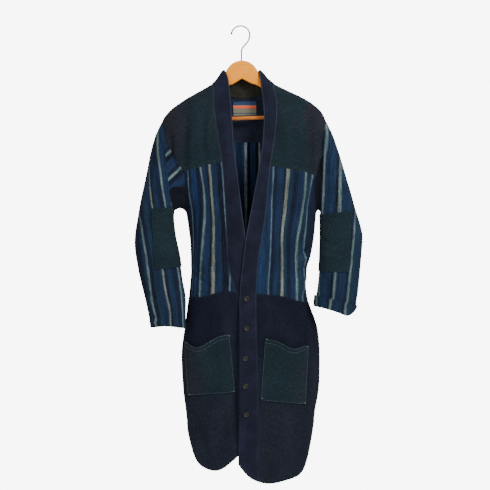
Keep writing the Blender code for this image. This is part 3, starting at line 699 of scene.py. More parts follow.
@dataclass(frozen=True)
class LabelCloth:
    """The woven label: a cream ground with plain bands of blue and coral."""

    name: str
    cream: Colour
    blue: Colour
    coral: Colour
    middle: float = -215.0

    def build(self) -> bpy.types.Material:
        """Build the material.

        Returns:
            The material.
        """
        paint = Paint(self.name)
        height = paint.split(paint.place())[2]
        colour = self.cream
        for level, half, band in ((14.0, 5.5, self.blue), (3.6, 3.2, self.coral), (-13.5, 1.0, self.blue)):
            away = paint.sum("ABSOLUTE", paint.sum("SUBTRACT", height, (self.middle + level) * MM))
            colour = paint.mix(
                paint.spread(away, (half - 0.3) * MM, (half + 0.3) * MM, 1.0, 0.0), colour, band)
        threads = paint.cloud(paint.place(), (900.0, 1.0, 2600.0))
        return paint.finish(
            paint.lighten(colour, paint.vary(threads, 0.8, 1.15)), 0.7, threads, 0.2 * MM,
            Specular_IOR_Level=0.3)


@dataclass(frozen=True)
class Thread:
    """Sewing thread: a twisted cotton yarn."""

    name: str
    colour: Colour

    def build(self) -> bpy.types.Material:
        """Build the material.

        Returns:
            The material.
        """
        paint = Paint(self.name)
        twist = paint.cloud(paint.place(), 1600.0, 1.0)
        return paint.finish(
            paint.lighten(self.colour, paint.vary(twist, 0.7, 1.2)), 0.8, twist, 0.1 * MM,
            Specular_IOR_Level=0.3)


@dataclass(frozen=True)
class Horn:
    """Dark polished horn with paler streaks."""

    name: str
    dark: Colour
    pale: Colour

    def build(self) -> bpy.types.Material:
        """Build the material.

        Returns:
            The material.
        """
        paint = Paint(self.name)
        streaks = paint.cloud(paint.place(), (300.0, 300.0, 90.0), 3.0, 0.6)
        scratches = paint.cloud(paint.place(), 2200.0)
        return paint.finish(
            paint.mix(paint.spread(streaks, 0.42, 0.68), self.dark, self.pale),
            paint.vary(scratches, 0.38, 0.55), scratches, 0.04 * MM, Specular_IOR_Level=0.32)


class Grain(Enum):
    """How the wood's grain lies."""

    ARCHED = 0
    ALONG = 1


@dataclass(frozen=True)
class Wood:
    """Varnished wood: fine growth lines, pores and a soft change of colour."""

    name: str
    light: Colour
    dark: Colour
    grain: Grain

    def build(self) -> bpy.types.Material:
        """Build the material.

        Returns:
            The material.
        """
        paint = Paint(self.name)
        place = paint.place()
        x, y, z = paint.split(place)
        wave = paint.cloud(place, (14.0, 14.0, 26.0))
        if self.grain is Grain.ARCHED:
            level = paint.sum("ADD", paint.sum("ADD", z, paint.product(x, x, 6.0)), paint.product(wave, 0.03))
            pores = paint.cloud(place, (90.0, 300.0, 900.0), 3.0, 0.6)
        else:
            level = paint.sum("ADD", paint.sum("ADD", z, y), paint.product(wave, 0.012))
            pores = paint.cloud(place, (60.0, 1200.0, 1200.0), 3.0, 0.6)
        rings = paint.sum("MULTIPLY_ADD", paint.sum("SINE", paint.product(level, 900.0)), 0.5, 0.5)
        share = paint.sum("ADD", paint.product(rings, 0.26), paint.product(pores, 0.5), clamp=True)
        return paint.finish(
            paint.mix(paint.spread(share, 0.2, 0.85), self.light, self.dark), paint.vary(pores, 0.36, 0.52),
            pores, 0.08 * MM, Specular_IOR_Level=0.25, Coat_Weight=0.08, Coat_Roughness=0.3)


@dataclass(frozen=True)
class Steel:
    """Drawn steel wire."""

    name: str
    colour: Colour

    def build(self) -> bpy.types.Material:
        """Build the material.

        Returns:
            The material.
        """
        paint = Paint(self.name)
        marks = paint.cloud(paint.place(), (500.0, 500.0, 60.0), 3.0)
        return paint.finish(
            paint.lighten(self.colour, paint.vary(marks, 0.8, 1.15)), paint.vary(marks, 0.44, 0.6), marks,
            0.03 * MM, Metallic=1.0)


@dataclass(frozen=True)
class Plaster:
    """The pale floor."""

    name: str
    colour: Colour

    def build(self) -> bpy.types.Material:
        """Build the material.

        Returns:
            The material.
        """
        paint = Paint(self.name)
        grain = paint.cloud(paint.place(), 30.0, 3.0)
        return paint.finish(paint.lighten(self.colour, paint.vary(grain, 0.98, 1.02)), 0.9)


class Cloth(Enum):
    """The cloths of the coat's pieces, by the record's material slots."""

    STRIPED = "striped_cotton"
    TWEED = "green_tweed"
    SASHIKO = "navy_sashiko"
    NAVY = "navy_cotton"
    LABEL = "label_cloth"


@dataclass(frozen=True)
class Cut:
    """One cloth piece of the coat.

    Attributes:
        node: The CAD node that it stands for.
        cloth: Its cloth.
        wall: Its thickness.
        flat: Width and length that it was cut to.
        area: Its area before it was sewn, in square metres.
        rests_on: What it hangs from.
    """

    node: str
    cloth: Cloth
    wall: float
    flat: Place
    area: float
    rests_on: str


CUTS = (
    Cut("yoke_front_right", Cloth.TWEED, COTTON, (0.168, 0.232), 0.0264, "hanger_body"),
    Cut("yoke_front_left", Cloth.TWEED, COTTON, (0.158, 0.251), 0.0272, "hanger_body"),
    Cut("yoke_back", Cloth.NAVY, COTTON, (0.451, 0.156), 0.0545, "hanger_body"),
    Cut("front_right", Cloth.STRIPED, COTTON, (0.151, 0.360), 0.0393, "yoke_front_right_cloth"),
    Cut("front_left", Cloth.STRIPED, COTTON, (0.170, 0.362), 0.0487, "yoke_front_left_cloth"),
    Cut("back", Cloth.STRIPED, COTTON, (0.416, 0.426), 0.1455, "yoke_back_cloth"),
    Cut("skirt_front_right", Cloth.SASHIKO, SASHIKO, (0.177, 0.476), 0.0721, "front_right_cloth"),
    Cut("skirt_front_left", Cloth.SASHIKO, SASHIKO, (0.191, 0.502), 0.0801, "front_left_cloth"),
    Cut("skirt_back", Cloth.SASHIKO, SASHIKO, (0.403, 0.418), 0.1520, "back_cloth"),
    Cut("neck_band_right", Cloth.NAVY, BAND, (0.041, 1.100), 0.0437, "hanger_body"),
    Cut("neck_band_left", Cloth.NAVY, BAND, (0.042, 1.110), 0.0450, "hanger_body"),
    Cut("neck_band_back", Cloth.NAVY, BAND, (0.192, 0.071), 0.0081, "yoke_back_cloth"),
    Cut("sleeve_right", Cloth.STRIPED, COTTON, (0.333, 0.550), 0.1121, "yoke_back_cloth"),
    Cut("sleeve_left", Cloth.STRIPED, COTTON, (0.361, 0.517), 0.1045, "yoke_back_cloth"),
    Cut("gusset_right", Cloth.NAVY, COTTON, (0.048, 0.155), 0.0052, "back_cloth"),
    Cut("gusset_left", Cloth.NAVY, COTTON, (0.023, 0.321), 0.0048, "back_cloth"),
    Cut("underarm_front_right", Cloth.STRIPED, COTTON, (0.125, 0.080), 0.0038, "sleeve_right_cloth"),
    Cut("underarm_back_right", Cloth.STRIPED, COTTON, (0.123, 0.078), 0.0037, "sleeve_right_cloth"),
)
NARROW = ("gusset_right", "gusset_left", "underarm_front_right", "underarm_back_right")


def islands(faces: Iterable[bmesh.types.BMFace]) -> list[list[bmesh.types.BMFace]]:
    """Group faces that hang together.

    Args:
        faces: The faces.

    Returns:
        The groups, in the order in which they are met.
    """
    order = list(faces)
    left = set(order)
    groups = []
    for start in order:
        if start not in left:
            continue
        left.remove(start)
        stack, group = [start], []
        while stack:
            face = stack.pop()
            group.append(face)
            for edge in face.edges:
                for other in edge.link_faces:
                    if other in left:
                        left.remove(other)
                        stack.append(other)
        groups.append(group)
    return groups


@dataclass
class Panel:
    """A piece's outer face as the CAD gives it.

    Attributes:
        cut: The piece.
        points: Its corners, in metres.
        triangles: Its triangles, as numbers of corners.
        rim: The numbers of the corners on its edges.
        faces: Its faces after pairing, as numbers of corners.
        cloth: For each of those, each corner's place on the cloth, in metres.
    """

    cut: Cut
    points: np.ndarray
    triangles: list[tuple[int, ...]]
    rim: list[int]
    faces: list[tuple[int, ...]] = field(default_factory=list)
    cloth: list[list[Place]] = field(default_factory=list)


def key(first: int, second: int) -> Edge:
    """Name an edge by its two corners, whichever way it runs."""
    return (first, second) if first < second else (second, first)


def faces_at_edges(faces: Sequence[Sequence[int]]) -> dict[Edge, list[int]]:
    """List the faces that meet at each edge.

    Args:
        faces: The faces, as numbers of corners.

    Returns:
        For each edge, the numbers of its faces.
    """
    found: dict[Edge, list[int]] = {}
    for number, corners in enumerate(faces):
        for first, second in zip(corners, corners[1:] + corners[:1]):
            found.setdefault(key(first, second), []).append(number)
    return found


def open_edges(faces: Sequence[Sequence[int]]) -> list[Edge]:
    """List the edges that only one face has, the way it runs along them.

    Args:
        faces: The faces, as numbers of corners.

    Returns:
        The edges, each as its two corners.
    """
    seen: dict[Edge, list[Edge]] = {}
    for corners in faces:
        for first, second in zip(corners, corners[1:] + corners[:1]):
            seen.setdefault(key(first, second), []).append((first, second))
    return [ways[0] for ways in seen.values() if len(ways) == 1]


def rim_of(faces: Sequence[Sequence[int]]) -> list[int]:
    """List the corners on open edges, in rising order."""
    return sorted({corner for edge in open_edges(faces) for corner in edge})


def panels_of(node: bpy.types.Object, cut: Cut) -> list[Panel]:
    """Take a cloth solid apart into its two faces, leaving out the rims between them.

    Args:
        node: The CAD node.
        cut: The piece.

    Returns:
        The two faces, the larger one first.
    """
    work = bmesh.new()
    work.from_mesh(node.data)
    bmesh.ops.remove_doubles(work, verts=work.verts, dist=SAME)
    rims = [
        face for face in work.faces
        if any(abs(edge.calc_length() - cut.wall) < 0.04 * MM for edge in face.edges)]
    bmesh.ops.delete(work, geom=rims, context="FACES_ONLY")
    groups = sorted(islands(work.faces), key=lambda group: -sum(face.calc_area() for face in group))
    found = []
    for group in groups[:2]:
        numbers: dict[bmesh.types.BMVert, int] = {}
        for face in group:
            for vert in face.verts:
                numbers.setdefault(vert, len(numbers))
        triangles = [tuple(numbers[vert] for vert in face.verts) for face in group]
        found.append(Panel(cut, np.array([tuple(vert.co) for vert in numbers]), triangles, rim_of(triangles)))
    work.free()
    return found


CORNERS = ((0, 0), (0, 1), (1, 1), (1, 0))      # a cell's corners as rows and columns from its first


class Lattice:
    """Finds the rows and columns of a panel that is a grid of cells, each cut the same way in two."""

    # For each neighbour: its step in rows and columns, the shared corners, and where they lie in it
    NEIGHBOURS = (
        ((0, 1), (1, 2), (0, 3)),
        ((0, -1), (0, 3), (1, 2)),
        ((1, 0), (3, 2), (0, 1)),
        ((-1, 0), (0, 1), (3, 2)),
    )

    def __init__(self, panel: Panel) -> None:
        """Prepare to walk over a panel.

        Args:
            panel: The panel.
        """
        self.panel = panel
        self.at_edge = faces_at_edges(panel.triangles)
        self.cells: dict[tuple[int, int], tuple[int, int, int, int]] = {}
        self.used: set[int] = set()

    def third(self, triangle: int, edge: Edge) -> int:
        """Return the corner of a triangle that isn't on an edge."""
        return next(corner for corner in self.panel.triangles[triangle] if corner not in edge)

    def across(self, triangle: int, edge: Edge) -> int | None:
        """Return the triangle on the other side of an edge, if there is one."""
        return next((other for other in self.at_edge.get(edge, ()) if other != triangle), None)

    def squareness(self, corners: Sequence[int]) -> float:
        """Say how far a cell is from a rectangle: 0 for a true one.

        Args:
            corners: The cell's corners.

        Returns:
            The worst corner's cosine.
        """
        points = self.panel.points[list(corners)]
        worst = 0.0
        for index in range(4):
            one = points[index - 1] - points[index]
            two = points[(index + 1) % 4] - points[index]
            size = np.linalg.norm(one) * np.linalg.norm(two)
            worst = max(worst, abs(float(one @ two)) / max(size, 1e-12))
        return worst

    def cell_at(self, edge: Edge) -> tuple[int, int, tuple[int, int, int, int]]:
        """Take the two triangles at an edge as one cell.

        Args:
            edge: The cut between them.

        Returns:
            The triangles and the cell's corners, the first and third of which the cut joins.
        """
        one, two = self.at_edge[edge]
        first, second = self.third(one, edge), self.third(two, edge)
        turn = self.panel.triangles[one]
        at = turn.index(first)
        return one, two, (turn[(at + 2) % 3], first, turn[(at + 1) % 3], second)

    def best(self) -> Lattice:
        """Try each of the three ways in which triangles can pair up, from one in the middle.

        Returns:
            The lattice that takes in the most triangles in the most rectangular cells.
        """
        inside = [
            edge for edge, faces in self.at_edge.items()
            if len(faces) == 2 and not set(edge) & set(self.panel.rim)]
        inside = inside or [edge for edge, faces in self.at_edge.items() if len(faces) == 2]
        first = min(inside, key=lambda edge: self.squareness(self.cell_at(edge)[2]))
        turn = self.panel.triangles[self.at_edge[first][0]]
        found = []
        for edge in (key(turn[0], turn[1]), key(turn[1], turn[2]), key(turn[2], turn[0])):
            if len(self.at_edge[edge]) == 2:
                lattice = Lattice(self.panel)
                lattice.walk(edge)
                score = np.mean([self.squareness(corners) for corners in lattice.cells.values()])
                found.append((-len(lattice.used) // 8, score, lattice))
        return min(found, key=lambda item: item[:2])[2]

    def walk(self, start: Edge) -> None:
        """Name every cell by its row and column.

        Args:
            start: The cut inside the first cell.
        """
        one, two, corners = self.cell_at(start)
        self.used |= {one, two}
        self.cells[(0, 0)] = corners
        waiting = [((0, 0), {one, two})]
        while waiting:
            (row, column), own = waiting.pop(0)
            corners = self.cells[(row, column)]
            for (down, right), shared, there in self.NEIGHBOURS:
                first, second = corners[shared[0]], corners[shared[1]]
                edge = key(first, second)
                triangle = next((face for face in self.at_edge[edge] if face not in own), None)
                if triangle is None or triangle in self.used:
                    continue
                new: list[int | None] = [None] * 4
                new[there[0]], new[there[1]] = first, second
                tip = 2 if 0 in there and 2 not in there else 0
                new[tip] = self.third(triangle, edge)
                cut = key(new[0], new[2])
                partner = self.across(triangle, cut)
                if partner is None or partner in self.used:
                    continue
                new[new.index(None)] = self.third(partner, cut)
                self.used |= {triangle, partner}
                self.cells[(row + down, column + right)] = tuple(new)
                waiting.append(((row + down, column + right), {triangle, partner}))


def lay_cloth(panel: Panel) -> None:
    """Give a panel its four-sided faces and each face's places on the cloth, true to length.

    Args:
        panel: The panel, whose faces and coordinates are filled in.
    """
    lattice = Lattice(panel).best()
    left = [found for number, found in enumerate(panel.triangles) if number not in lattice.used]
    panel.faces = list(lattice.cells.values()) + left
    if panel.cut.node.startswith("sleeve"):
        panel.cloth = hanging_tube(panel)
    elif panel.cut.node.startswith("underarm"):
        panel.cloth = slanting(panel.points, panel.faces)
    else:
        panel.cloth = flat_panel(panel, lattice.cells)


def slanting(points: np.ndarray, faces: Sequence[Sequence[int]]) -> list[list[Place]]:
    """Lay cloth on faces so that its stripes rise to the left at 45 degrees.

    Args:
        points: The faces' points.
        faces: The faces.

    Returns:
        For each face, the places of its corners.
    """
    across = (points[:, 0] - points[:, 2]) / math.sqrt(2)
    along = (-points[:, 0] - points[:, 2]) / math.sqrt(2)
    return [[(float(across[corner]), float(along[corner])) for corner in found] for found in faces]


def flat_panel(
        panel: Panel, cells: dict[tuple[int, int], tuple[int, ...]]) -> list[list[Place]]:
    """Measure a panel of the body along its rows and columns.

    Across, it is measured round the body from x at the middle column. Along, it is measured down
    from the height of the top row.

    Args:
        panel: The panel.
        cells: Its cells by row and column.

    Returns:
        For each face of the panel, the places of its corners.
    """
    points = panel.points
    slides = [abs(points[found[0]][2] - points[found[1]][2]) for found in cells.values()]
    drops = [abs(points[found[0]][2] - points[found[3]][2]) for found in cells.values()]
    turned = np.mean(slides) > np.mean(drops)
    first_row, first_column = (min(at[axis] for at in cells) for axis in (0, 1))
    last_row, last_column = (max(at[axis] for at in cells) for axis in (0, 1))
    shape = (last_row - first_row + 2, last_column - first_column + 2)
    numbers = np.full(shape, -1)
    for (row, column), found in cells.items():
        for corner, (down, right) in zip(found, CORNERS):
            numbers[row - first_row + down, column - first_column + right] = corner
    if turned:
        numbers = numbers.T
    grid = np.where(numbers[:, :, None] >= 0, points[numbers], np.nan)
    if np.nanmean(grid[0, :, 2]) < np.nanmean(grid[-1, :, 2]):
        numbers, grid = numbers[::-1], grid[::-1]
    if np.nanmean(grid[:, 0, 0]) > np.nanmean(grid[:, -1, 0]):
        numbers, grid = numbers[:, ::-1], grid[:, ::-1]
    middle = grid.shape[1] // 2
    round_steps = np.linalg.norm(np.nan_to_num(np.diff(grid[:, :, :2], axis=1)), axis=2)
    across = np.concatenate([np.zeros((len(grid), 1)), np.cumsum(round_steps, axis=1)], axis=1)
    across += np.nan_to_num(grid[:, middle:middle + 1, 0]) - across[:, middle:middle + 1]
    down_steps = np.linalg.norm(np.nan_to_num(np.diff(grid[:, :, 1:], axis=0)), axis=2)
    along = np.concatenate([np.zeros((1, grid.shape[1])), np.cumsum(down_steps, axis=0)], axis=0)
    along -= np.nan_to_num(grid[0, :, 2])
    places = {corner: (float(point[0]), float(-point[2])) for corner, point in enumerate(points)}
    for at in np.ndindex(*numbers.shape):
        if numbers[at] >= 0:
            places[int(numbers[at])] = (float(across[at]), float(along[at]))
    return [[places[corner] for corner in found] for found in panel.faces]


def hanging_tube(panel: Panel) -> list[list[Place]]:
    """Measure a hanging sleeve round its level sections from its outer fold, positive in front.

    Args:
        panel: The sleeve.

    Returns:
        For each face of the panel, the places of its corners.
    """
    outward = 1 if panel.cut.node.endswith("left") else -1
    corners = panel.points[np.array(panel.triangles)]
    rim = panel.points[sorted(panel.rim), 2]
    lowest = rim[rim < rim.min() + HEM_SLANT].max() + 4 * MM
    highest = panel.points[:, 2].max() - 1 * MM
    sections: dict[int, tuple[np.ndarray, np.ndarray, float]] = {}
    arcs, rounds = [], []
    for point in panel.points:
        step = round(min(max(point[2], lowest), highest) / SECTION_STEP)
        if step not in sections:
            level = min(max(step * SECTION_STEP, lowest), highest)
            sections[step] = signed_section(level_section(corners, level), outward)
        chain, reach, size = sections[step]
        arcs.append(float(reach[int(np.argmin(np.linalg.norm(chain[:, :2] - point[:2], axis=1)))]))
        rounds.append(size)
    cloth = []
    for found in panel.faces:
        own = [arcs[corner] for corner in found]
        size = max(rounds[corner] for corner in found)
        if size and max(own) - min(own) > size / 2:
            ahead = sum(arc > 0 for arc in own) * 2 >= len(own)
            own = [
                arc + rounds[corner] if ahead and arc < 0 else
                arc - rounds[corner] if not ahead and arc > 0 else arc
                for arc, corner in zip(own, found)]
        cloth.append([
            (arc, float(-panel.points[corner][2])) for arc, corner in zip(own, found)])
    return cloth


def signed_section(chain: np.ndarray, outward: int) -> tuple[np.ndarray, np.ndarray, float]:
    """Measure a section from its outer fold, positive in front.

    Args:
        chain: The section's points in order. A closed one is cut open at its inner edge.
        outward: 1 where +X is away from the body, -1 where -X is.

    Returns:
        The points, the length from the fold at each of them, and the length all round, 0 for a
        section that isn't closed.
    """
    closed = bool(np.linalg.norm(chain[0] - chain[-1]) < 2 * MM)
    if closed:
        inner = outward * chain[:-1, 0] < np.median(outward * chain[:, 0])
        off = np.abs(chain[:-1, 1] - chain[:, 1].mean())
        start = int(np.argmin(np.where(inner, off, np.inf)))
        chain = np.concatenate([chain[start:-1], chain[:start + 1]])
    fold = int(np.argmax(outward * chain[:, 0]))
    reach = lengths(chain)
    arcs = reach - reach[fold]
    if chain[:fold + 1, 1].mean() < chain[fold:, 1].mean():
        arcs = -arcs
    return chain, arcs, float(reach[-1]) if closed else 0.0


def level_section(corners: np.ndarray, level: float) -> np.ndarray:
    """Cut triangles at one height and chain the cuts.

    Args:
        corners: The triangles' corners.
        level: The height.

    Returns:
        The points of the chain, in order, about a millimetre apart.
    """
    above = corners[:, :, 2] > level
    pieces = []
    for triangle, high in zip(corners, above):
        if high.all() or not high.any():
            continue
        ends = []
        for index in range(3):
            one, two = triangle[index], triangle[(index + 1) % 3]
            if high[index] != high[(index + 1) % 3]:
                share = (level - one[2]) / (two[2] - one[2])
                ends.append(one + (two - one) * share)
        pieces.append(ends)
    chain = [pieces[0][0], pieces[0][1]]
    left = pieces[1:]
    for _ in range(2):
        found = True
        while found:
            found = False
            for number, (one, two) in enumerate(left):
                for near, far in ((one, two), (two, one)):
                    if np.linalg.norm(near - chain[-1]) < 0.05 * MM:
                        chain.append(far)
                        left.pop(number)
                        found = True
                        break
                if found:
                    break
        chain.reverse()
    chain = np.array(chain)
    reach = lengths(chain)
    return between(np.linspace(0, reach[-1], int(reach[-1] / MM) + 2), reach, chain)


@dataclass
class Skin:
    """The coat's pieces joined at their seams into one smooth skin, whose points the creases move.

    Attributes:
        points: Its points.
        faces: Its four-sided faces, as numbers of points.
        owner: The number of each face's piece.
        cloth: Each face's corners on the cloth.
        cuts: The pieces, by number.
    """

    points: np.ndarray
    faces: np.ndarray
    owner: np.ndarray
    cloth: np.ndarray
    cuts: tuple[Cut, ...]

    def normals(self) -> np.ndarray:
        """Work out the way out at each point.

        Returns:
            A unit normal at each point.
        """
        corners = self.points[self.faces]
        flat = np.cross(corners[:, 2] - corners[:, 0], corners[:, 3] - corners[:, 1])
        total = np.zeros_like(self.points)
        for index in range(4):
            np.add.at(total, self.faces[:, index], flat)
        return unit(total)

    def owners_of_points(self) -> list[set[int]]:
        """List the pieces that meet at each point.

        Returns:
            For each point, the numbers of its pieces.
        """
        found: list[set[int]] = [set() for _ in self.points]
        for corners, owner in zip(self.faces.tolist(), self.owner.tolist()):
            for corner in corners:
                found[corner].add(owner)
        return found


def outer_panels(nodes: dict[str, bpy.types.Object]) -> list[Panel]:
    """Take the outer face of every cloth piece.

    A narrow piece's faces differ too little in size, so its outer one is the one that meets the
    neighbours' outer faces.

    Args:
        nodes: The CAD nodes.

    Returns:
        The panels with their cloth coordinates, in the order of the cuts.
    """
    both = {cut.node: panels_of(nodes[cut.node], cut) for cut in CUTS}
    sure = [found[0] for name, found in both.items() if name not in NARROW]
    tree = tree_of(np.concatenate([panel.points[panel.rim] for panel in sure]))
    panels = []
    for cut in CUTS:
        panel = both[cut.node][0]
        if cut.node in NARROW:
            panel = min(both[cut.node], key=lambda found: np.mean(
                [min(tree.find(found.points[corner])[2], cut.wall) for corner in found.rim]))
        lay_cloth(panel)
        panels.append(panel)
    return panels


def join_seams(points: np.ndarray, rims: Sequence[int], owners: Sequence[int]) -> np.ndarray:
    """Find which points on the pieces' edges are one place on a seam.

    Args:
        points: All points. Those that are joined are moved to their middle.
        rims: The numbers of the points on edges.
        owners: The piece of each point.

    Returns:
        The number that stands for each point.
    """
    tree = tree_of(points[list(rims)])
    stands = np.arange(len(points))

    def root(number: int) -> int:
        """Return the number that stands for a point so far.

        Args:
            number: The point.

        Returns:
            The number that stands for it.
        """
        while stands[number] != number:
            number = stands[number]
        return number

    for number in rims:
        nearest: dict[int, tuple[float, int]] = {}
        for _, index, distance in tree.find_range(points[number], WELD):
            other = rims[index]
            if owners[other] != owners[number]:
                nearest[owners[other]] = min(nearest.get(owners[other], (1.0, 0)), (distance, other))
        for _, other in nearest.values():
            one, two = root(number), root(other)
            stands[max(one, two)] = min(one, two)
    stands = np.array([root(number) for number in range(len(points))])
    for number in set(stands[list(rims)].tolist()):
        points[number] = points[stands == number].mean(axis=0)
    return stands


def coarse_skin(panels: Sequence[Panel]) -> bpy.types.Object:
    """Join the panels at their seams, each face carrying its panel's number as material.

    Args:
        panels: The outer faces of all pieces.

    Returns:
        A mesh object.
    """
    starts = np.cumsum([0] + [len(panel.points) for panel in panels])
    points = np.concatenate([panel.points for panel in panels])
    owners = np.repeat(np.arange(len(panels)), [len(panel.points) for panel in panels])
    rims = [start + corner for start, panel in zip(starts, panels) for corner in panel.rim]
    stands = join_seams(points, rims, owners)
    faces, cloth, owner = [], [], []
    for number, (start, panel) in enumerate(zip(starts, panels)):
        for corners, places in zip(panel.faces, panel.cloth):
            joined = [int(stands[start + corner]) for corner in corners]
            kept = [index for index in range(len(joined)) if joined[index] != joined[index - 1]]
            if len(set(joined[index] for index in kept)) < 3:
                continue
            faces.append([joined[index] for index in kept])
            cloth += [places[index] for index in kept]
            owner.append(number)
    used = sorted({corner for corners in faces for corner in corners})
    renumber = {old: new for new, old in enumerate(used)}
    faces = [[renumber[corner] for corner in corners] for corners in faces]
    skin = new_object("skin", points[used], faces, cloth)
    skin.data.polygons.foreach_set("material_index", owner)
    return skin


def read(items: bpy.types.bpy_prop_collection, name: str, width: int, kind: type = float) -> np.ndarray:
    """Read one property of all of a mesh's items.

    Args:
        items: The items.
        name: The property.
        width: How many numbers it has in each.
        kind: What those are.

    Returns:
        The numbers, in rows where there are several.
    """
    found = np.empty(len(items) * width, dtype=kind)
    items.foreach_get(name, found)
    return found.reshape(-1, width) if width > 1 else found


def sew(panels: Sequence[Panel]) -> Skin:
    """Join the panels at their seams and smooth them together.

    Args:
        panels: The outer faces of all pieces.

    Returns:
        The skin.
    """
    thing = coarse_skin(panels)
    smooth = thing.modifiers.new("smooth", "SUBSURF")
    smooth.levels = LEVELS
    smooth.render_levels = LEVELS
    smooth.boundary_smooth = "PRESERVE_CORNERS"
    show_only(thing)
    bpy.ops.object.modifier_apply(modifier="smooth")
    mesh = thing.data
    skin = Skin(
        read(mesh.vertices, "co", 3), read(mesh.loops, "vertex_index", 1, int).reshape(-1, 4),
        read(mesh.polygons, "material_index", 1, int),
        read(mesh.uv_layers["cloth"].data, "uv", 2).reshape(-1, 4, 2), tuple(panel.cut for panel in panels))
    bpy.data.objects.remove(thing, do_unlink=True)
    return skin


@dataclass
class Surface:
    """One face of a piece of cloth, apart from the rest, with what is needed to put things on it.

    Attributes:
        cut: The piece.
        points: Its points.
        normals: The way out at each of them.
        faces: Its faces, as numbers of points.
        cloth: For each face, its corners' places on the cloth.
        beside: For each point, the names of the pieces that meet there.
        marks: Numbers that the mesh carries at each point, by name.
    """

    cut: Cut
    points: np.ndarray
    normals: np.ndarray
    faces: list[list[int]]
    cloth: list[list[Sequence[float]]]
    beside: list[set[str]] = field(default_factory=list)
    marks: dict[str, np.ndarray] = field(default_factory=dict)
    finder: BVHTree | None = None

    def nearest(self, points: Iterable[Sequence[float]]) -> Run:
        """Lay a line that passes near the face on it.

        Args:
            points: The line's points.

        Returns:
            The line on the face.
        """
        if self.finder is None:
            self.finder = BVHTree.FromPolygons(self.points.tolist(), self.faces)
        found = [self.finder.find_nearest(Vector(point)) for point in points]
        return Run(np.array([place for place, *_ in found]), np.array([out for _, out, *_ in found]))

    def moved(self, out: float | np.ndarray) -> Surface:
        """Return a copy that lies further out."""
        return Surface(
            self.cut, self.points + self.normals * out, self.normals, self.faces, self.cloth,
            self.beside, self.marks)

    def everywhere(self) -> np.ndarray:
        """Pass all points."""
        return np.ones(len(self.points), dtype=bool)


@dataclass
class Run:
    """A line on a face of cloth that stitches follow, with the way out at each of its points."""

    points: np.ndarray
    normals: np.ndarray


def surface_of(skin: Skin, number: int, normals: np.ndarray, owners: Sequence[set[int]] = ()) -> Surface:
    """Take one piece out of the skin.

    Args:
        skin: The skin.
        number: The piece's number.
        normals: The way out at each of the skin's points.
        owners: For each of them, the pieces that meet there.

    Returns:
        Its face.
    """
    chosen = skin.owner == number
    used, renumbered = np.unique(skin.faces[chosen], return_inverse=True)
    beside = [{skin.cuts[other].node for other in owners[point]} for point in used] if owners else []
    return Surface(
        skin.cuts[number], skin.points[used], normals[used], renumbered.reshape(-1, 4).tolist(),
        skin.cloth[chosen].tolist(), beside)


def make_sheet(face: Surface, look: bpy.types.Material, wall: float) -> None:
    """Args:
        face: Its outer face.
        look: Its material.
        wall: Its thickness, inwards from the face.
    """
    count = len(face.points)
    cloth = [place for places in face.cloth for place in places]
    cloth += [place for places in face.cloth for place in reversed(places)]
    back = [[corner + count for corner in reversed(corners)] for corners in face.faces]
    at_corner: dict[int, Sequence[float]] = {}
    for corners, places in zip(face.faces, face.cloth):
        at_corner.update(zip(corners, places))
    rims = []
    for first, second in open_edges(face.faces):
        rims.append([second, first, first + count, second + count])
        cloth += [at_corner[second], at_corner[first], at_corner[first], at_corner[second]]
    points = np.concatenate([face.points, face.points - face.normals * wall])
    thing = new_object(f"{face.cut.node}_cloth", points, face.faces + back + rims, cloth)
    for mark, values in face.marks.items():
        layer = thing.data.attributes.new(mark, "FLOAT", "POINT")
        layer.data.foreach_set("value", np.concatenate([values, values]).astype(np.float32))
    finish_piece(thing, look, face.cut.node, 50.0)
    LOG.info("made %s", thing.name)


class Side(Enum):
    """Which way a crease faces, as the sign of y."""

    FRONT = -1
    BACK = 1


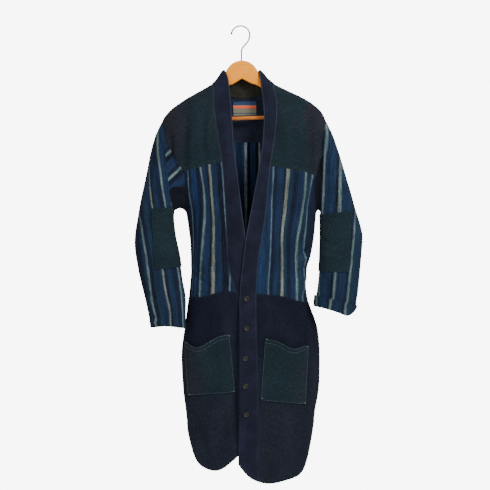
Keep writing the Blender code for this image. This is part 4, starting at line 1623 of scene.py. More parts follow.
# For each crease: its half width and its height in millimetres, the height below 0 for a trough, then
# its places in the photograph's pixels. Those on the back are seen through the coat.
CREASES = {
    Side.FRONT: (
        # The right yoke and the strips under the arm
        (11, 3.3, (214, 104), (210, 122), (209, 140), (211, 158)),
        (8, -3.3, (206, 112), (203, 128), (203, 146), (205, 161)),
        (10, 2.7, (196, 118), (192, 138), (190, 156), (191, 170)),
        (12, -6.5, (187, 112), (184.5, 140), (184, 160), (186, 180)),
        (6, 3.0, (178, 130), (176, 146), (174, 162)),
        (5, -3.9, (170, 128), (171, 144), (174, 160), (178, 172)),
        (5, 3.3, (160, 126), (163, 142), (168, 156)),
        (5, -3.6, (180, 188), (176, 196), (172, 203)),
        (5, 2.7, (184, 182), (180, 190), (177, 200)),
        (6, -2.4, (190, 178), (187, 190), (184, 204)),
        # The left yoke
        (13, -7.5, (308, 112), (309.5, 140), (309, 162), (307, 180)),
        (9, 3.0, (302, 122), (301, 145), (301, 168)),
        (6, -3.9, (320, 128), (321, 160), (321, 190)),
        (12, 2.4, (282, 108), (285, 130), (288, 152)),
        (9, -2.1, (274, 112), (276, 134), (280, 156)),
        (7, 2.4, (315, 132), (315, 156), (313, 180)),
        # The right front
        (8, -4.2, (196, 190), (193, 214), (195, 240), (193, 262)),
        (9, 3.8, (203, 200), (202, 228), (200, 256)),
        (9, -3.6, (214, 232), (211, 256), (209, 282)),
        (8, 3.2, (222, 246), (220, 266), (219, 286)),
        (7, -4.1, (187, 232), (190, 250), (197, 266), (206, 276)),
        (6, 3.3, (189, 244), (194, 260), (203, 272)),
        (6, -3.2, (190, 268), (198, 278), (209, 285)),
        (9, 2.7, (209, 180), (212, 200), (216, 222)),
        # The left front
        (8, -4.9, (309, 200), (305, 222), (301, 246), (303, 262)),
        (7, 4.5, (303, 218), (299, 240), (300, 258), (305, 272)),
        (5, -5.4, (311, 246), (304, 252), (297, 256)),
        (5, 4.1, (310, 254), (303, 260), (295, 263)),
        (5, -4.5, (309, 264), (303, 269), (296, 271)),
        (5, 3.6, (309, 276), (302, 279), (294, 280)),
        (9, -3.6, (290, 214), (287, 244), (287, 276)),
        (9, 3.3, (279, 226), (276, 254), (275, 284)),
        (8, -3.0, (270, 236), (267, 262), (267, 288)),
        (10, 3.0, (296, 186), (292, 208), (290, 232)),
        # The skirt
        (7.5, -10.0, (236, 314), (235.4, 350), (235.8, 390), (236.4, 420), (235.6, 450)),
        (9, 2.4, (228, 300), (226, 332), (227, 368), (229, 402)),
        (10, 3.0, (222, 306), (221, 336), (223, 372), (226, 410)),
        (11, -2.8, (212, 304), (208, 326), (206, 346)),
        (10, 2.7, (200, 304), (196, 324), (194, 340)),
        (8, -3.0, (189, 308), (188, 332), (187, 352)),
        (12, -3.3, (226, 398), (225, 424), (228, 448), (231, 456)),
        (13, 3.0, (212, 400), (211, 426), (213, 452)),
        (12, -2.7, (199, 402), (200, 426), (204, 450)),
        (9, 2.4, (190, 404), (193, 428), (198, 448)),
        (9, -2.7, (266, 302), (264, 326), (262, 352), (260, 388)),
        (11, 3.0, (278, 300), (279, 318), (280, 336)),
        (12, -3.4, (291, 304), (292, 322), (293, 342)),
        (9, 2.8, (303, 306), (306, 324), (309, 346)),
        (8, -2.5, (311, 316), (314, 340), (316, 372), (315, 404)),
        (14, 3.0, (252, 404), (251, 432), (252, 460)),
        (13, -3.0, (267, 406), (268, 436), (267, 466)),
        (14, 3.2, (284, 408), (286, 436), (283, 466)),
        (12, -2.8, (300, 408), (301, 434), (297, 458)),
        (8, -2.1, (196, 455), (208, 462), (222, 460)),
        (8, -2.2, (252, 470), (268, 476), (284, 471)),
        # The right sleeve
        (8, 3.0, (157, 118), (155, 142), (156, 168), (160, 198)),
        (7, -3.4, (163, 140), (164, 165), (168, 190), (172, 208)),
        (9, -2.7, (149, 150), (148, 176), (149, 204)),
        (10, 2.5, (143, 190), (143, 222), (145, 252)),
        (7, -2.8, (172, 206), (164, 212), (155, 214)),
        (7, -3.0, (180, 236), (171, 243), (160, 246)),
        (8, 2.4, (178, 250), (168, 256), (158, 256)),
        (8, -2.7, (153, 262), (151, 280), (153, 300)),
        (8, 2.4, (161, 270), (161, 290), (164, 312)),
        (8, -2.4, (174, 276), (174, 296), (176, 318)),
        (5, -3.0, (150, 312), (156, 317), (163, 316)),
        (5, 2.4, (150, 319), (157, 322), (166, 321)),
        (6, -2.7, (146, 290), (152, 296), (158, 298)),
        # The left sleeve
        (9, 2.7, (331, 128), (332, 152), (331, 180), (329, 204)),
        (7, -2.8, (339, 146), (341, 170), (342, 198)),
        (9, 2.4, (349, 182), (350, 206), (351, 234)),
        (8, -2.7, (326, 140), (325, 166), (324, 196)),
        (7, -3.0, (320, 238), (329, 244), (341, 245)),
        (7, 2.4, (320, 252), (331, 258), (344, 257)),
        (8, -2.7, (350, 250), (347, 272), (345, 292)),
        (8, 2.2, (341, 274), (339, 290), (337, 302)),
        (7, -2.4, (325, 274), (326, 288), (325, 300)),
        (6, -2.5, (354, 280), (348, 286), (341, 287)),
    ),
    Side.BACK: (
        # The back's yoke and body
        (12, 3.3, (206, 104), (203, 126), (200, 148)),
        (10, -3.0, (188, 110), (184, 132), (183, 158)),
        (12, -2.7, (226, 112), (226, 132), (224, 150)),
        (12, 2.8, (292, 108), (296, 130), (298, 152)),
        (10, -3.2, (312, 116), (315, 140), (314, 168)),
        (11, -2.4, (272, 110), (273, 132), (272, 152)),
        (10, -3.0, (196, 180), (199, 214), (197, 250), (200, 286)),
        (11, 2.8, (212, 172), (214, 210), (213, 250), (216, 290)),
        (12, -2.5, (238, 176), (240, 214), (238, 258)),
        (12, 2.5, (262, 190), (262, 232), (265, 274)),
        (11, -3.0, (286, 176), (284, 214), (287, 254), (285, 292)),
        (9, 2.7, (302, 196), (299, 232), (300, 268)),
        (7, -3.2, (190, 242), (203, 256), (221, 262)),
        (7, 2.4, (191, 256), (205, 268), (222, 272)),
        (7, -3.0, (306, 238), (293, 252), (276, 259)),
        (7, 2.4, (305, 252), (292, 264), (276, 270)),
        # The back's skirt
        (13, 3.3, (196, 308), (194, 346), (198, 388), (202, 428)),
        (12, -3.4, (212, 302), (213, 344), (212, 392), (216, 430)),
        (14, 3.0, (232, 310), (233, 350), (231, 396), (232, 436)),
        (12, -2.8, (250, 300), (252, 340), (250, 384), (252, 432)),
        (14, 3.2, (272, 306), (273, 350), (274, 400), (272, 434)),
        (12, -3.3, (290, 302), (293, 346), (292, 392), (288, 430)),
        (12, 2.7, (306, 312), (308, 350), (307, 396)),
        # The sleeves from behind
        (9, 2.8, (156, 120), (153, 146), (152, 176), (154, 206)),
        (8, -3.2, (164, 138), (162, 166), (165, 196)),
        (8, -3.0, (178, 236), (167, 244), (154, 246)),
        (8, 2.5, (176, 252), (166, 258), (154, 258)),
        (9, -2.5, (152, 262), (154, 284), (158, 308)),
        (9, 2.4, (168, 268), (170, 290), (174, 312)),
        (9, 2.8, (332, 126), (335, 154), (337, 184), (336, 210)),
        (8, -3.0, (324, 142), (325, 168), (325, 200)),
        (8, -3.0, (322, 236), (333, 244), (346, 246)),
        (8, 2.5, (323, 252), (334, 258), (346, 257)),
        (9, -2.4, (346, 262), (343, 280), (339, 298)),
        (9, 2.4, (329, 268), (329, 284), (326, 300)),
    ),
}


def along_path(places: np.ndarray, path: np.ndarray) -> tuple[np.ndarray, np.ndarray]:
    """Measure places against a path.

    Args:
        places: The places, as rows of x and z.
        path: The path's corners, as rows of x and z.

    Returns:
        How far they are from the path, and how far along it, from 0 to 1.
    """
    reach = lengths(path)
    near = np.full(len(places), np.inf)
    way = np.zeros(len(places))
    for start, end, before, after in zip(path, path[1:], reach, reach[1:]):
        size = after - before
        share = np.clip((places - start) @ (end - start) / size ** 2, 0, 1)
        away = np.linalg.norm(places - start - share[:, None] * (end - start), axis=1)
        closer = away < near
        near[closer] = away[closer]
        way[closer] = (before + share[closer] * size) / reach[-1]
    return near, way


def distances(points: np.ndarray, marks: np.ndarray, reach: float) -> np.ndarray:
    """Measure how far points are from the nearest of some marks, where it is less than a reach.

    Args:
        points: The points.
        marks: The marks.
        reach: The distance past which it doesn't matter.

    Returns:
        The distances, none above the reach.
    """
    tree = tree_of(marks)
    low, high = marks.min(axis=0) - reach, marks.max(axis=0) + reach
    found = np.full(len(points), reach)
    for number in np.nonzero(((points > low) & (points < high)).all(axis=1))[0]:
        found[number] = min(reach, tree.find(points[number])[2])
    return found


def bell(away: np.ndarray, width: float) -> np.ndarray:
    """Fall smoothly from 1 in the middle to almost 0 past twice the width."""
    return np.exp(-((away / width) ** 2))


@dataclass(frozen=True)
class Drape:
    """How the coat's cloth falls: listed creases, a soft unevenness, and its seams and hems.

    Attributes:
        unevenness: How far the cloth wanders in broad waves.
        broad: How many of them there are to a metre along each axis.
        rumple: How far it wanders in small ones.
        small: How many of those there are.
        seam_depth: How deep seams are sunk.
        seam_width: Half a seam's width.
        allowance: How high the seam allowance stands beside the seam.
        beside: How far from the seam it stands highest.
        hem: How far inside the edge a hem's row of stitches runs.
        hem_rise: How thick the turned hem stands.
        hem_groove: How deep its stitches are sunk.
        skirt_end: The height below which an open edge is the skirt's hem.
        sleeve_end: The height below which one outside the body is a sleeve's hem.
        body: The middle of the body and half its width, in x.
        tips: The collar's tips in x and z, in millimetres.
        tip_rise: How much they are drawn up.
        tip_reach: How far around them that reaches.
    """

    unevenness: float = 1.1 * MM
    broad: tuple[float, ...] = (13.0, 9.0, 8.0)
    rumple: float = 0.35 * MM
    small: tuple[float, ...] = (46.0, 30.0, 30.0)
    seam_depth: float = 0.9 * MM
    seam_width: float = 2.4 * MM
    allowance: float = 0.35 * MM
    beside: float = 7 * MM
    hem: float = 17 * MM
    hem_rise: float = 0.7 * MM
    hem_groove: float = 0.5 * MM
    skirt_end: float = -1.02
    sleeve_end: float = -0.73
    body: tuple[float, float] = (0.027, 0.165)
    tips: tuple[Place, ...] = ((-44.5, -126.0), (45.0, -126.5))
    tip_rise: float = 6.5 * MM
    tip_reach: float = 22 * MM

    def creased(self, points: np.ndarray, normals: np.ndarray) -> np.ndarray:
        """Add up the creases.

        Args:
            points: The skin's points.
            normals: The way out at each.

        Returns:
            How far each point moves out.
        """
        total = np.zeros(len(points))
        flat = points[:, (0, 2)]
        for side, creases in CREASES.items():
            facing = soft_step(-0.1, 0.45, normals[:, 1] * side.value)
            for width, depth, *places in creases:
                path = photo_path(places)
                low, high = path.min(axis=0) - 3 * width * MM, path.max(axis=0) + 3 * width * MM
                inside = ((flat > low) & (flat < high)).all(axis=1)
                near_by = np.nonzero(inside & (facing > 0))[0]
                away, way = along_path(flat[near_by], path)
                swell = np.sin(np.pi * np.clip(way * 0.94 + 0.03, 0, 1)) ** 0.7
                swell *= 1 + 0.25 * np.sin(way * 9 + width)
                total[near_by] += depth * MM * swell * facing[near_by] * bell(away, width * MM)
        return total

    def uneven(self, points: np.ndarray) -> np.ndarray:
        """Add the soft unevenness of worn cloth.

        Args:
            points: The skin's points.

        Returns:
            How far each point moves out.
        """
        broad, small = points * self.broad, points * self.small + (7.0, 0.0, 0.0)
        return np.array([
            self.unevenness * noise.noise(wide) + self.rumple * noise.noise(fine)
            for wide, fine in zip(broad.tolist(), small.tolist())])

    def seams(self, skin: Skin) -> np.ndarray:
        """Sink the cloth at its seams, with the seam allowance standing out beside them.

        Args:
            skin: The skin.

        Returns:
            How far each point moves out.
        """
        shared = [number for number, found in enumerate(skin.owners_of_points()) if len(found) > 1]
        away = distances(skin.points, skin.points[shared], self.beside + 9 * MM)
        stands = self.allowance * bell(away - self.beside, 4 * MM)
        return stands - self.seam_depth * bell(away, self.seam_width)

    def hems(self, skin: Skin) -> np.ndarray:
        """Thicken the turned hems at the skirt's and the sleeves' ends.

        Args:
            skin: The skin.

        Returns:
            How far each point moves out.
        """
        middle, half = self.body
        ends = [
            corner for corner in rim_of(skin.faces.tolist())
            if skin.points[corner][2] < self.skirt_end
            or (skin.points[corner][2] < self.sleeve_end and abs(skin.points[corner][0] - middle) > half)]
        away = distances(skin.points, skin.points[ends], self.hem + 8 * MM)
        rise = self.hem_rise * (1 - soft_step(self.hem - 2 * MM, self.hem + 2 * MM, away))
        return rise - self.hem_groove * bell(away - self.hem, 1.8 * MM)

    def hang(self, skin: Skin) -> None:
        """Move the skin's points as the cloth falls.

        Args:
            skin: The skin.
        """
        normals = skin.normals()
        move = self.creased(skin.points, normals) + self.uneven(skin.points)
        move += self.seams(skin) + self.hems(skin)
        skin.points = skin.points + normals * move[:, None]
        for x, z in self.tips:
            away = np.hypot(skin.points[:, 0] - x * MM, skin.points[:, 2] - z * MM)
            skin.points[:, 2] += self.tip_rise * bell(away, self.tip_reach)


@dataclass(frozen=True)
class Stripe:
    """A light stripe: where it lies on the cloth, and where the photograph shows it.

    Attributes:
        middle: Its place across the cloth, in millimetres.
        path: Its places in the photograph's pixels.
    """

    middle: float
    path: tuple[Place, ...]


STRIPES = {
    "front_right": (
        Stripe(-38.5, ((222.6, 165), (223.7, 183), (225.2, 200), (226.3, 215), (228, 235), (229.8, 250),
                       (230, 275), (229.6, 300))),
        Stripe(-73.6, ((209, 160), (210.8, 180), (212, 195), (213.5, 210), (214.3, 225), (214, 250),
                       (213.8, 296))),
        Stripe(-95.9, ((200.3, 165), (203.5, 184), (205.3, 200), (205.2, 215), (203.8, 235), (202, 250),
                       (199.5, 280), (200, 300))),
        Stripe(-130.7, ((187.6, 165), (188.5, 190), (191, 205), (192, 215), (192.5, 232))),
    ),
    "front_left": (
        Stripe(79.5, ((273.6, 160), (272, 195), (271.3, 215), (270.5, 250), (268.6, 280), (268, 300))),
        Stripe(113.4, ((289, 160), (286, 195), (284, 215), (281.5, 235), (281.8, 250), (282, 300))),
        Stripe(159.5, ((307, 165), (304.5, 195), (301.5, 215), (297.5, 235), (295.5, 250), (296, 275),
                       (296.8, 302))),
        Stripe(178.0, ((312.5, 175), (308.8, 198), (307, 212), (306.4, 228), (303.4, 248), (306, 260),
                       (303.6, 273), (305.4, 283), (308, 300))),
    ),
    "sleeve_right": (
        Stripe(20, ((140, 211), (143, 230), (147, 255), (149.5, 275), (152.5, 300), (156.5, 315),
                    (157, 330))),
        Stripe(60, ((151, 130), (150, 150), (149, 172), (152, 199), (153.5, 209), (163.5, 270), (165, 280),
                    (168, 298), (171.5, 312), (171, 330))),
        Stripe(100, ((158.7, 130), (157.9, 150), (159.8, 165), (163.7, 195), (166, 207), (178.5, 269),
                     (181, 285), (182.5, 300), (184, 330))),
    ),
    "sleeve_left": (
        Stripe(52, ((355.2, 213), (353.6, 227.5), (352, 248), (349.7, 272), (346.5, 296), (344.5, 316))),
        Stripe(88, ((340.3, 152), (339.8, 180), (338.8, 211), (334.5, 272), (333.2, 290), (330.5, 306),
                    (329, 314))),
        Stripe(126, ((326.3, 130), (323.8, 165), (321.8, 211), (318.8, 273), (318, 300))),
    ),
}


@dataclass(frozen=True)
class StripeGuide:
    """Slides a piece's cloth coordinates so that its stripes run where the photograph shows them."""

    node: str
    step: float = 10 * MM
    reach: float = 400 * MM
    hem: float = 14 * MM

    def measured(self, face: Surface) -> tuple[np.ndarray, list[Matches], list[Matches]]:
        """Read where each stripe crosses each level. Past its ends, a stripe runs on as it did.

        Args:
            face: The piece's outer face before it is creased.

        Returns:
            The levels, and for each of them the coordinates found by those that they should be: those of
            the stripes seen there, and those of the others.
        """
        finder = BVHTree.FromPolygons(face.points.tolist(), face.faces)
        levels = np.arange(face.points[:, 2].min() + self.hem, face.points[:, 2].max() + self.step, self.step)
        seen: list[Matches] = [{} for _ in levels]
        held: list[Matches] = [{} for _ in levels]
        for stripe in STRIPES[self.node]:
            path = photo_path(stripe.path)
            path = path[np.argsort(path[:, 1])]
            places: dict[int, float] = {}
            for number, level in enumerate(levels):
                if path[0, 1] <= level <= path[-1, 1]:
                    across = np.interp(level, path[:, 1], path[:, 0])
                    hit, _, at, _ = finder.ray_cast(Vector((across, -0.3, level)), Vector((0, 1, 0)))
                    if hit is not None:
                        places[number] = place_on(face, at, hit)
            numbers = sorted(places)
            found = [places[number] for number in numbers]
            below = (found[0] - found[4]) / (numbers[4] - numbers[0])
            above = (found[-1] - found[-5]) / (numbers[-1] - numbers[-5])
            filled = np.interp(range(len(levels)), numbers, found)
            filled[:numbers[0]] += below * np.arange(numbers[0], 0, -1)
            filled[numbers[-1]:] += above * np.arange(len(levels) - numbers[-1])
            for number, place in enumerate(filled.tolist()):
                row = seen if numbers[0] <= number <= numbers[-1] else held
                row[number][stripe.middle * MM] = place
        return levels, seen, held

    def slide(self, face: Surface) -> np.ndarray:
        """Work out the new coordinates.

        Args:
            face: The piece's outer face before it is creased.

        Returns:
            The cloth coordinates of every face's corners.
        """
        levels, seen, held = self.measured(face)
        cloth = np.array(face.cloth)
        height = face.points[np.array(face.faces)][:, :, 2].ravel()
        across = cloth[:, :, 0].ravel()
        grid = np.linspace(across.min(), across.max(), 61)
        table = softened(np.array([self.shift(grid, row, spare) for row, spare in zip(seen, held)]))
        at = np.clip((height - levels[0]) / self.step, 0, len(levels) - 1.001)
        low = at.astype(int)
        share = at - low
        new = np.empty_like(across)
        for number in range(len(levels) - 1):
            chosen = low == number
            below = np.interp(across[chosen], grid, table[number])
            above = np.interp(across[chosen], grid, table[number + 1])
            new[chosen] = below * (1 - share[chosen]) + above * share[chosen]
        cloth[:, :, 0] = new.reshape(cloth.shape[:2])
        return cloth

    def shift(self, grid: np.ndarray, seen: Matches, held: Matches) -> np.ndarray:
        """Work out one level's new coordinates.

        Args:
            grid: Coordinates across the cloth.
            seen: The coordinates found for the stripes seen at this level, by those that they should be.
            held: Those of the other stripes. One that would crowd a seen stripe is left out.

        Returns:
            The grid's new coordinates.
        """
        kept = dict(seen)
        for wanted, found in held.items():
            if all(0.5 < (found - other) / (wanted - place) < 2.0 for place, other in kept.items()):
                kept[wanted] = found
        wanted = sorted(kept)
        found = [kept[place] for place in wanted]
        if found != sorted(found):
            raise ValueError(f"{self.node}: the stripes run the wrong way")
        return np.interp(
            grid, [found[0] - self.reach] + found + [found[-1] + self.reach],
            [wanted[0] - self.reach] + wanted + [wanted[-1] + self.reach])


def place_on(face: Surface, number: int, point: Sequence[float]) -> float:
    """Read the coordinate across the cloth at a point of a face.

    Args:
        face: The surface.
        number: The face that the point is on.
        point: The point.

    Returns:
        The coordinate.
    """
    corners = face.points[face.faces[number]]
    weights = 1 / np.maximum(np.linalg.norm(corners - np.array(point), axis=1), 1e-6)
    places = np.array([place[0] for place in face.cloth[number]])
    return float((places * weights).sum() / weights.sum())


@dataclass(frozen=True)
class Plane:
    """A plane that trims a layer of cloth: what lies beyond it goes."""

    place: Vector
    away: Vector


def edge_plane(
        start: Sequence[float], end: Sequence[float], inside: Sequence[float],
        lean: float = 0.0) -> Plane:
    """The plane through one edge of a layer, seen from the front.

    Args:
        start: The edge's one end, as x and z in millimetres.
        end: Its other end.
        inside: A place inside the layer.
        lean: How much the plane turns to the side as it goes back.

    Returns:
        The plane.
    """
    along = Vector((end[0] - start[0], 0, end[1] - start[1]))
    away = along.cross(Vector((lean, 1, 0)))
    place = Vector((start[0], Layer.FRONT, start[1]))
    if away.dot(Vector((inside[0], Layer.FRONT, inside[1])) - place) > 0:
        away = -away
    return Plane(place * MM, away.normalized())


@dataclass(frozen=True)
class Layer:
    """A second layer of cloth sewn on a piece.

    Attributes:
        node: The CAD node that it stands for.
        base: The piece that it lies on.
        cloth: Its cloth.
        corners: Its corners in x and z, in millimetres.
        flat: Width and length that it was cut to.
        area: Its area, in square metres.
        lean: For a layer that wraps round, how much its outer edge turns as it goes back.
    """

    FRONT = -40.0               # y where its edges were read, in millimetres

    node: str
    base: str
    cloth: Cloth
    corners: tuple[Place, ...]
    flat: Place
    area: float
    lean: float = 0.0

    def planes(self) -> list[Plane]:
        """List the planes that trim it.

        Returns:
            The planes.
        """
        inside = tuple(np.mean(self.corners, axis=0))
        if len(self.corners) == 3:
            return [edge_plane(self.corners[0], self.corners[1], self.corners[2])]
        ring = list(zip(self.corners, self.corners[1:] + self.corners[:1]))
        if self.lean:
            top, _, bottom, side = ring
            return [edge_plane(*top, inside), edge_plane(*bottom, inside),
                    edge_plane(*side, inside, self.lean)]
        return [edge_plane(*edge, inside) for edge in ring]

    def trimmed(self, base: Surface) -> Surface:
        """Cut the layer out of a copy of the cloth that it lies on.

        Args:
            base: That cloth's face.

        Returns:
            The layer's face.
        """
        work = bmesh.new()
        places = work.loops.layers.uv.new("cloth")
        verts = [work.verts.new(point) for point in base.points.tolist()]
        for corners, cloth in zip(base.faces, base.cloth):
            made = work.faces.new([verts[corner] for corner in corners])
            for loop, place in zip(made.loops, cloth):
                loop[places].uv = place
        for plane in self.planes():
            bmesh.ops.bisect_plane(
                work, geom=work.verts[:] + work.edges[:] + work.faces[:], dist=1e-6,
                plane_co=plane.place, plane_no=plane.away, clear_outer=True)
        bmesh.ops.remove_doubles(work, verts=work.verts, dist=0.05 * MM)
        work.normal_update()
        numbers = {vert: number for number, vert in enumerate(vert for vert in work.verts if vert.link_faces)}
        face = Surface(
            Cut(self.node, self.cloth, COTTON, self.flat, self.area, f"{self.base}_cloth"),
            np.array([tuple(vert.co) for vert in numbers]),
            np.array([tuple(vert.normal) for vert in numbers]),
            [[numbers[vert] for vert in made.verts] for made in work.faces],
            [[tuple(loop[places].uv) for loop in made.loops] for made in work.faces])
        work.free()
        return face


@dataclass(frozen=True)
class Pocket(Layer):
    """A patch pocket whose mouth sags open.

    Attributes:
        peak: Where across the mouth it sags most, as a share.
        drop: How far it sags there, in millimetres.
        opening: How far the mouth stands out there.
    """

    peak: float = 0.5
    drop: float = 15.0
    opening: float = 15.0

    def shares(self, points: np.ndarray) -> tuple[np.ndarray, np.ndarray]:
        """Say how far across the pocket points are, and how far up it, each from 0 to 1.

        Args:
            points: The points.

        Returns:
            How far across, and how far up.
        """
        (left, left_top), (right, right_top), (low_right, right_low), (low_left, left_low) = self.corners
        x, z = points[:, 0] / MM, points[:, 2] / MM
        level = (z - left_low) / (left_top - left_low)
        start = low_left + (left - low_left) * level
        end = low_right + (right - low_right) * level
        across = np.clip((x - start) / (end - start), 0, 1)
        low = left_low + (right_low - left_low) * across
        top = left_top + (right_top - left_top) * across
        return across, np.clip((z - low) / (top - low), 0, 1)

    def shaped(self, face: Surface) -> Surface:
        """Let the mouth sag open.

        Args:
            face: The pocket's face, flat on the skirt.

        Returns:
            The face as it hangs, marked with how near each point is to the mouth.
        """
        across, up = self.shares(face.points)
        bump = np.sin(np.pi * across ** (math.log(0.5) / math.log(self.peak)))
        points = face.points.copy()
        points[:, 1] -= self.opening * MM * bump * up ** 1.6
        points[:, 2] -= self.drop * MM * bump ** 3 * up ** 2
        return Surface(
            face.cut, points, smooth_normals(points, face.faces), face.faces, face.cloth, marks={"mouth": up})


def smooth_normals(points: np.ndarray, faces: Sequence[Sequence[int]]) -> np.ndarray:
    """Average the normals of faces with any number of corners at each point.

    Args:
        points: The points.
        faces: The faces, as numbers of corners.

    Returns:
        A unit normal at each point.
    """
    total = np.zeros_like(points)
    for corners in faces:
        own = points[corners]
        total[corners] += np.cross(own - own[0], np.roll(own, -1, axis=0) - own[0]).sum(axis=0)
    return unit(total)


LAYERS = (
    Pocket("pocket_right", "skirt_front_right", Cloth.TWEED,
           ((-149, -833), (-31, -812), (-18, -965), (-140, -975)), (0.141, 0.163), 0.0179,
           peak=0.31, drop=20.0),
    Pocket("pocket_left", "skirt_front_left", Cloth.TWEED,
           ((63, -824), (177, -844), (169, -998), (50, -986)), (0.130, 0.174), 0.0186,
           peak=0.64, drop=14.0),
    Layer("elbow_patch_right", "sleeve_right", Cloth.TWEED,
          ((-240, -483), (-160, -478), (-160, -636), (-218, -642)), (0.130, 0.167), 0.0202, lean=0.5),
    Layer("elbow_patch_left", "sleeve_left", Cloth.TWEED,
          ((293, -490), (205, -499), (205, -648), (275, -650)), (0.165, 0.160), 0.0253, lean=-0.5),
    Layer("turned_cuff_left", "sleeve_left", Cloth.STRIPED,
          ((201, -711), (301, -737), (260, -759)), (0.270, 0.055), 0.0080),
)


def edge_runs(face: Surface, keep: np.ndarray, inset: float) -> list[Run]:
    """Follow the edges of a face at a distance.

    Args:
        face: The face.
        keep: For each of its points, whether the line passes it.
        inset: How far inside the edge the line runs.

    Returns:
        The lines.
    """
    following = dict(open_edges(face.faces))
    starts = [first for first, second in following.items() if keep[first] and keep[second]]
    has_before = {following[first] for first in starts}
    left = set(starts)
    runs = []
    for start in [first for first in starts if first not in has_before] + starts:
        chain = [start]
        while chain[-1] in left:
            left.remove(chain[-1])
            chain.append(following[chain[-1]])
        if len(chain) >= SHORTEST:
            points = face.points[chain]
            inwards = unit(np.cross(face.normals[chain], np.gradient(points, axis=0)))
            runs.append(face.nearest(softened(points + inwards * inset)))
    return runs


@dataclass(frozen=True)
class Stitching:
    """How a row of stitches looks.

    Attributes:
        pitch: From one stitch's start to the next one's.
        length: A stitch's length.
        radius: The thread's half thickness.
        slant: How far each stitch turns off the row, in degrees.
    """

    pitch: float
    length: float
    radius: float
    slant: float = 0.0

    # For each ring of points: its place along the stitch, the thread's share of its radius, its rise
    RINGS = ((0.0, 0.25, -0.4), (0.16, 0.85, 0.35), (0.5, 1.0, 0.8), (0.84, 0.85, 0.35), (1.0, 0.25, -0.4))
    SIDES = 5

    def stitch(self) -> tuple[np.ndarray, list[list[int]]]:
        """Model one stitch, along x with z out of the cloth, as points and faces.

        Returns:
            Its points and faces.
        """
        points = [
            ((along - 0.5) * self.length, self.radius * thick * math.cos(math.tau * side / self.SIDES),
             self.radius * (thick * math.sin(math.tau * side / self.SIDES) + rise))
            for along, thick, rise in self.RINGS for side in range(self.SIDES)]
        return np.array(points), [corners[::-1] for corners in tube_faces(len(self.RINGS), self.SIDES)]

    def sew_on(self, name: str, runs: Sequence[Run], look: bpy.types.Material) -> None:
        """Copy the stitch along lines.

        Args:
            name: The name of the piece.
            runs: The lines.
            look: The thread's material.
        """
        model, model_faces = self.stitch()
        turn = math.radians(self.slant)
        model = model @ np.array(
            ((math.cos(turn), math.sin(turn), 0), (-math.sin(turn), math.cos(turn), 0), (0, 0, 1)))
        points, faces = [], []
        for run in runs:
            steps = lengths(run.points)
            for start in np.arange(self.pitch, steps[-1] - self.pitch, self.pitch):
                first, middle, last = (
                    between(start + share * self.length, steps, run.points) for share in (0, 0.5, 1))
                out = between(start + self.length / 2, steps, run.normals)
                along = unit(last - first)
                out = unit(out - along * (out @ along))
                faces += [[corner + len(points) for corner in corners] for corners in model_faces]
                points += (middle + model @ np.array([along, np.cross(out, along), out])).tolist()
        finish_piece(new_object(name, points, faces), look)


def outwards(period: float, zones: Sequence[tuple[float, Colour]]) -> tuple[tuple[float, Colour], ...]:
    """Turn zones that were measured outwards on the right front the way its cloth is measured.

    Args:
        period: After how many millimetres they repeat.
        zones: Where each starts, counted from the middle outwards, and its colour.

    Returns:
        The zones as they follow each other the other way.
    """
    ends = [start for start, _ in zones[1:]] + [period]
    turned = [(period - end, colour) for (_, colour), end in zip(zones, ends)]
    return tuple(reversed(turned))


RIGHT_FRONT_CLOTH = StripedCotton("striped_right_front", 160.0, outwards(160.0, (
    (0, INK), (18, BLUE), (36.4, MIST), (40.5, INK), (43, NIGHT), (54, BLUE), (71.0, BEIGE), (77.0, NIGHT),
    (81.6, BLUE), (93.5, MOSS), (98.2, INK), (110, BRIGHT), (123, INK), (129.8, MIST), (132, NIGHT))))
LEFT_FRONT_CLOTH = StripedCotton("striped_left_front", 220.0, (
    (0, INK), (42, BRIGHT), (60, BLUE), (77.6, MIST), (81.2, INK), (90, BLUE), (106, NIGHT), (109.8, BEIGE),
    (117, TEAL), (128, INK), (140, BLUE), (156.6, MOSS), (162.4, TEAL), (176.2, MIST), (179.8, INK)))
RIGHT_SLEEVE_CLOTH = StripedCotton("striped_right_sleeve", 170.0, (
    (0, INK), (8, BLUE), (17.0, MOSS), (23.0, INK), (34, TEAL), (45, BLUE), (57.8, BEIGE), (62.2, NIGHT),
    (68, BLUE), (84, INK), (97.3, MOSS), (102.7, BLUE), (130, INK), (148, MIST), (151, INK)))
LEFT_SLEEVE_CLOTH = StripedCotton("striped_left_sleeve", 170.0, (
    (0, INK), (8, BLUE), (18.7, MIST), (21.3, BLUE), (34, TEAL), (49.5, MOSS), (54.5, INK), (62, BLUE),
    (84.8, MOSS), (91.2, NIGHT), (98, BLUE), (122.9, MOSS), (129.1, INK), (142, BLUE), (156, INK)))
# The back's stripes use the brightened blue and light stripe: painted light against the shade inside the coat
LIT_BACK_CLOTH = StripedCotton("striped_back", 120.0, (
    (0, LIT_BACK_BLUE), (8, PALE), (15, NIGHT), (24, LIT_BACK_BLUE), (38, NIGHT), (46, PALE), (50, INK), (60, LIT_BACK_BLUE),
    (78, BEIGE), (83, NIGHT), (90, LIT_BACK_BLUE), (106, BLUE)))
UNDERARM_CLOTH = StripedCotton("striped_underarm", 50.0, (
    (0, MOSS), (5, NIGHT), (16, BLUE), (38, INK), (48, MOSS)))
TWEED = Tweed("green_tweed", tone(18, 31, 36), tone(29, 29, 37), tone(64, 74, 80))
SKIRT_CLOTH = DobbyCotton(
    "navy_dobby", tone(9, 12, 23), tone(30, 33, 54), tone(15, 19, 27), tone(42, 48, 60))
BAND_CLOTH = BandCotton("navy_band", tone(17, 20, 33), tone(46, 47, 70), tone(58, 62, 76))
BACK_YOKE_CLOTH = PlainCotton("navy_yoke", tone(27, 31, 44), tone(42, 46, 62))
GUSSET_CLOTH = PlainCotton("navy_gusset", tone(8, 11, 18), tone(18, 20, 32))
COLLAR_CLOTH = PlainCotton("olive_collar", tone(34, 34, 28), tone(54, 53, 42))

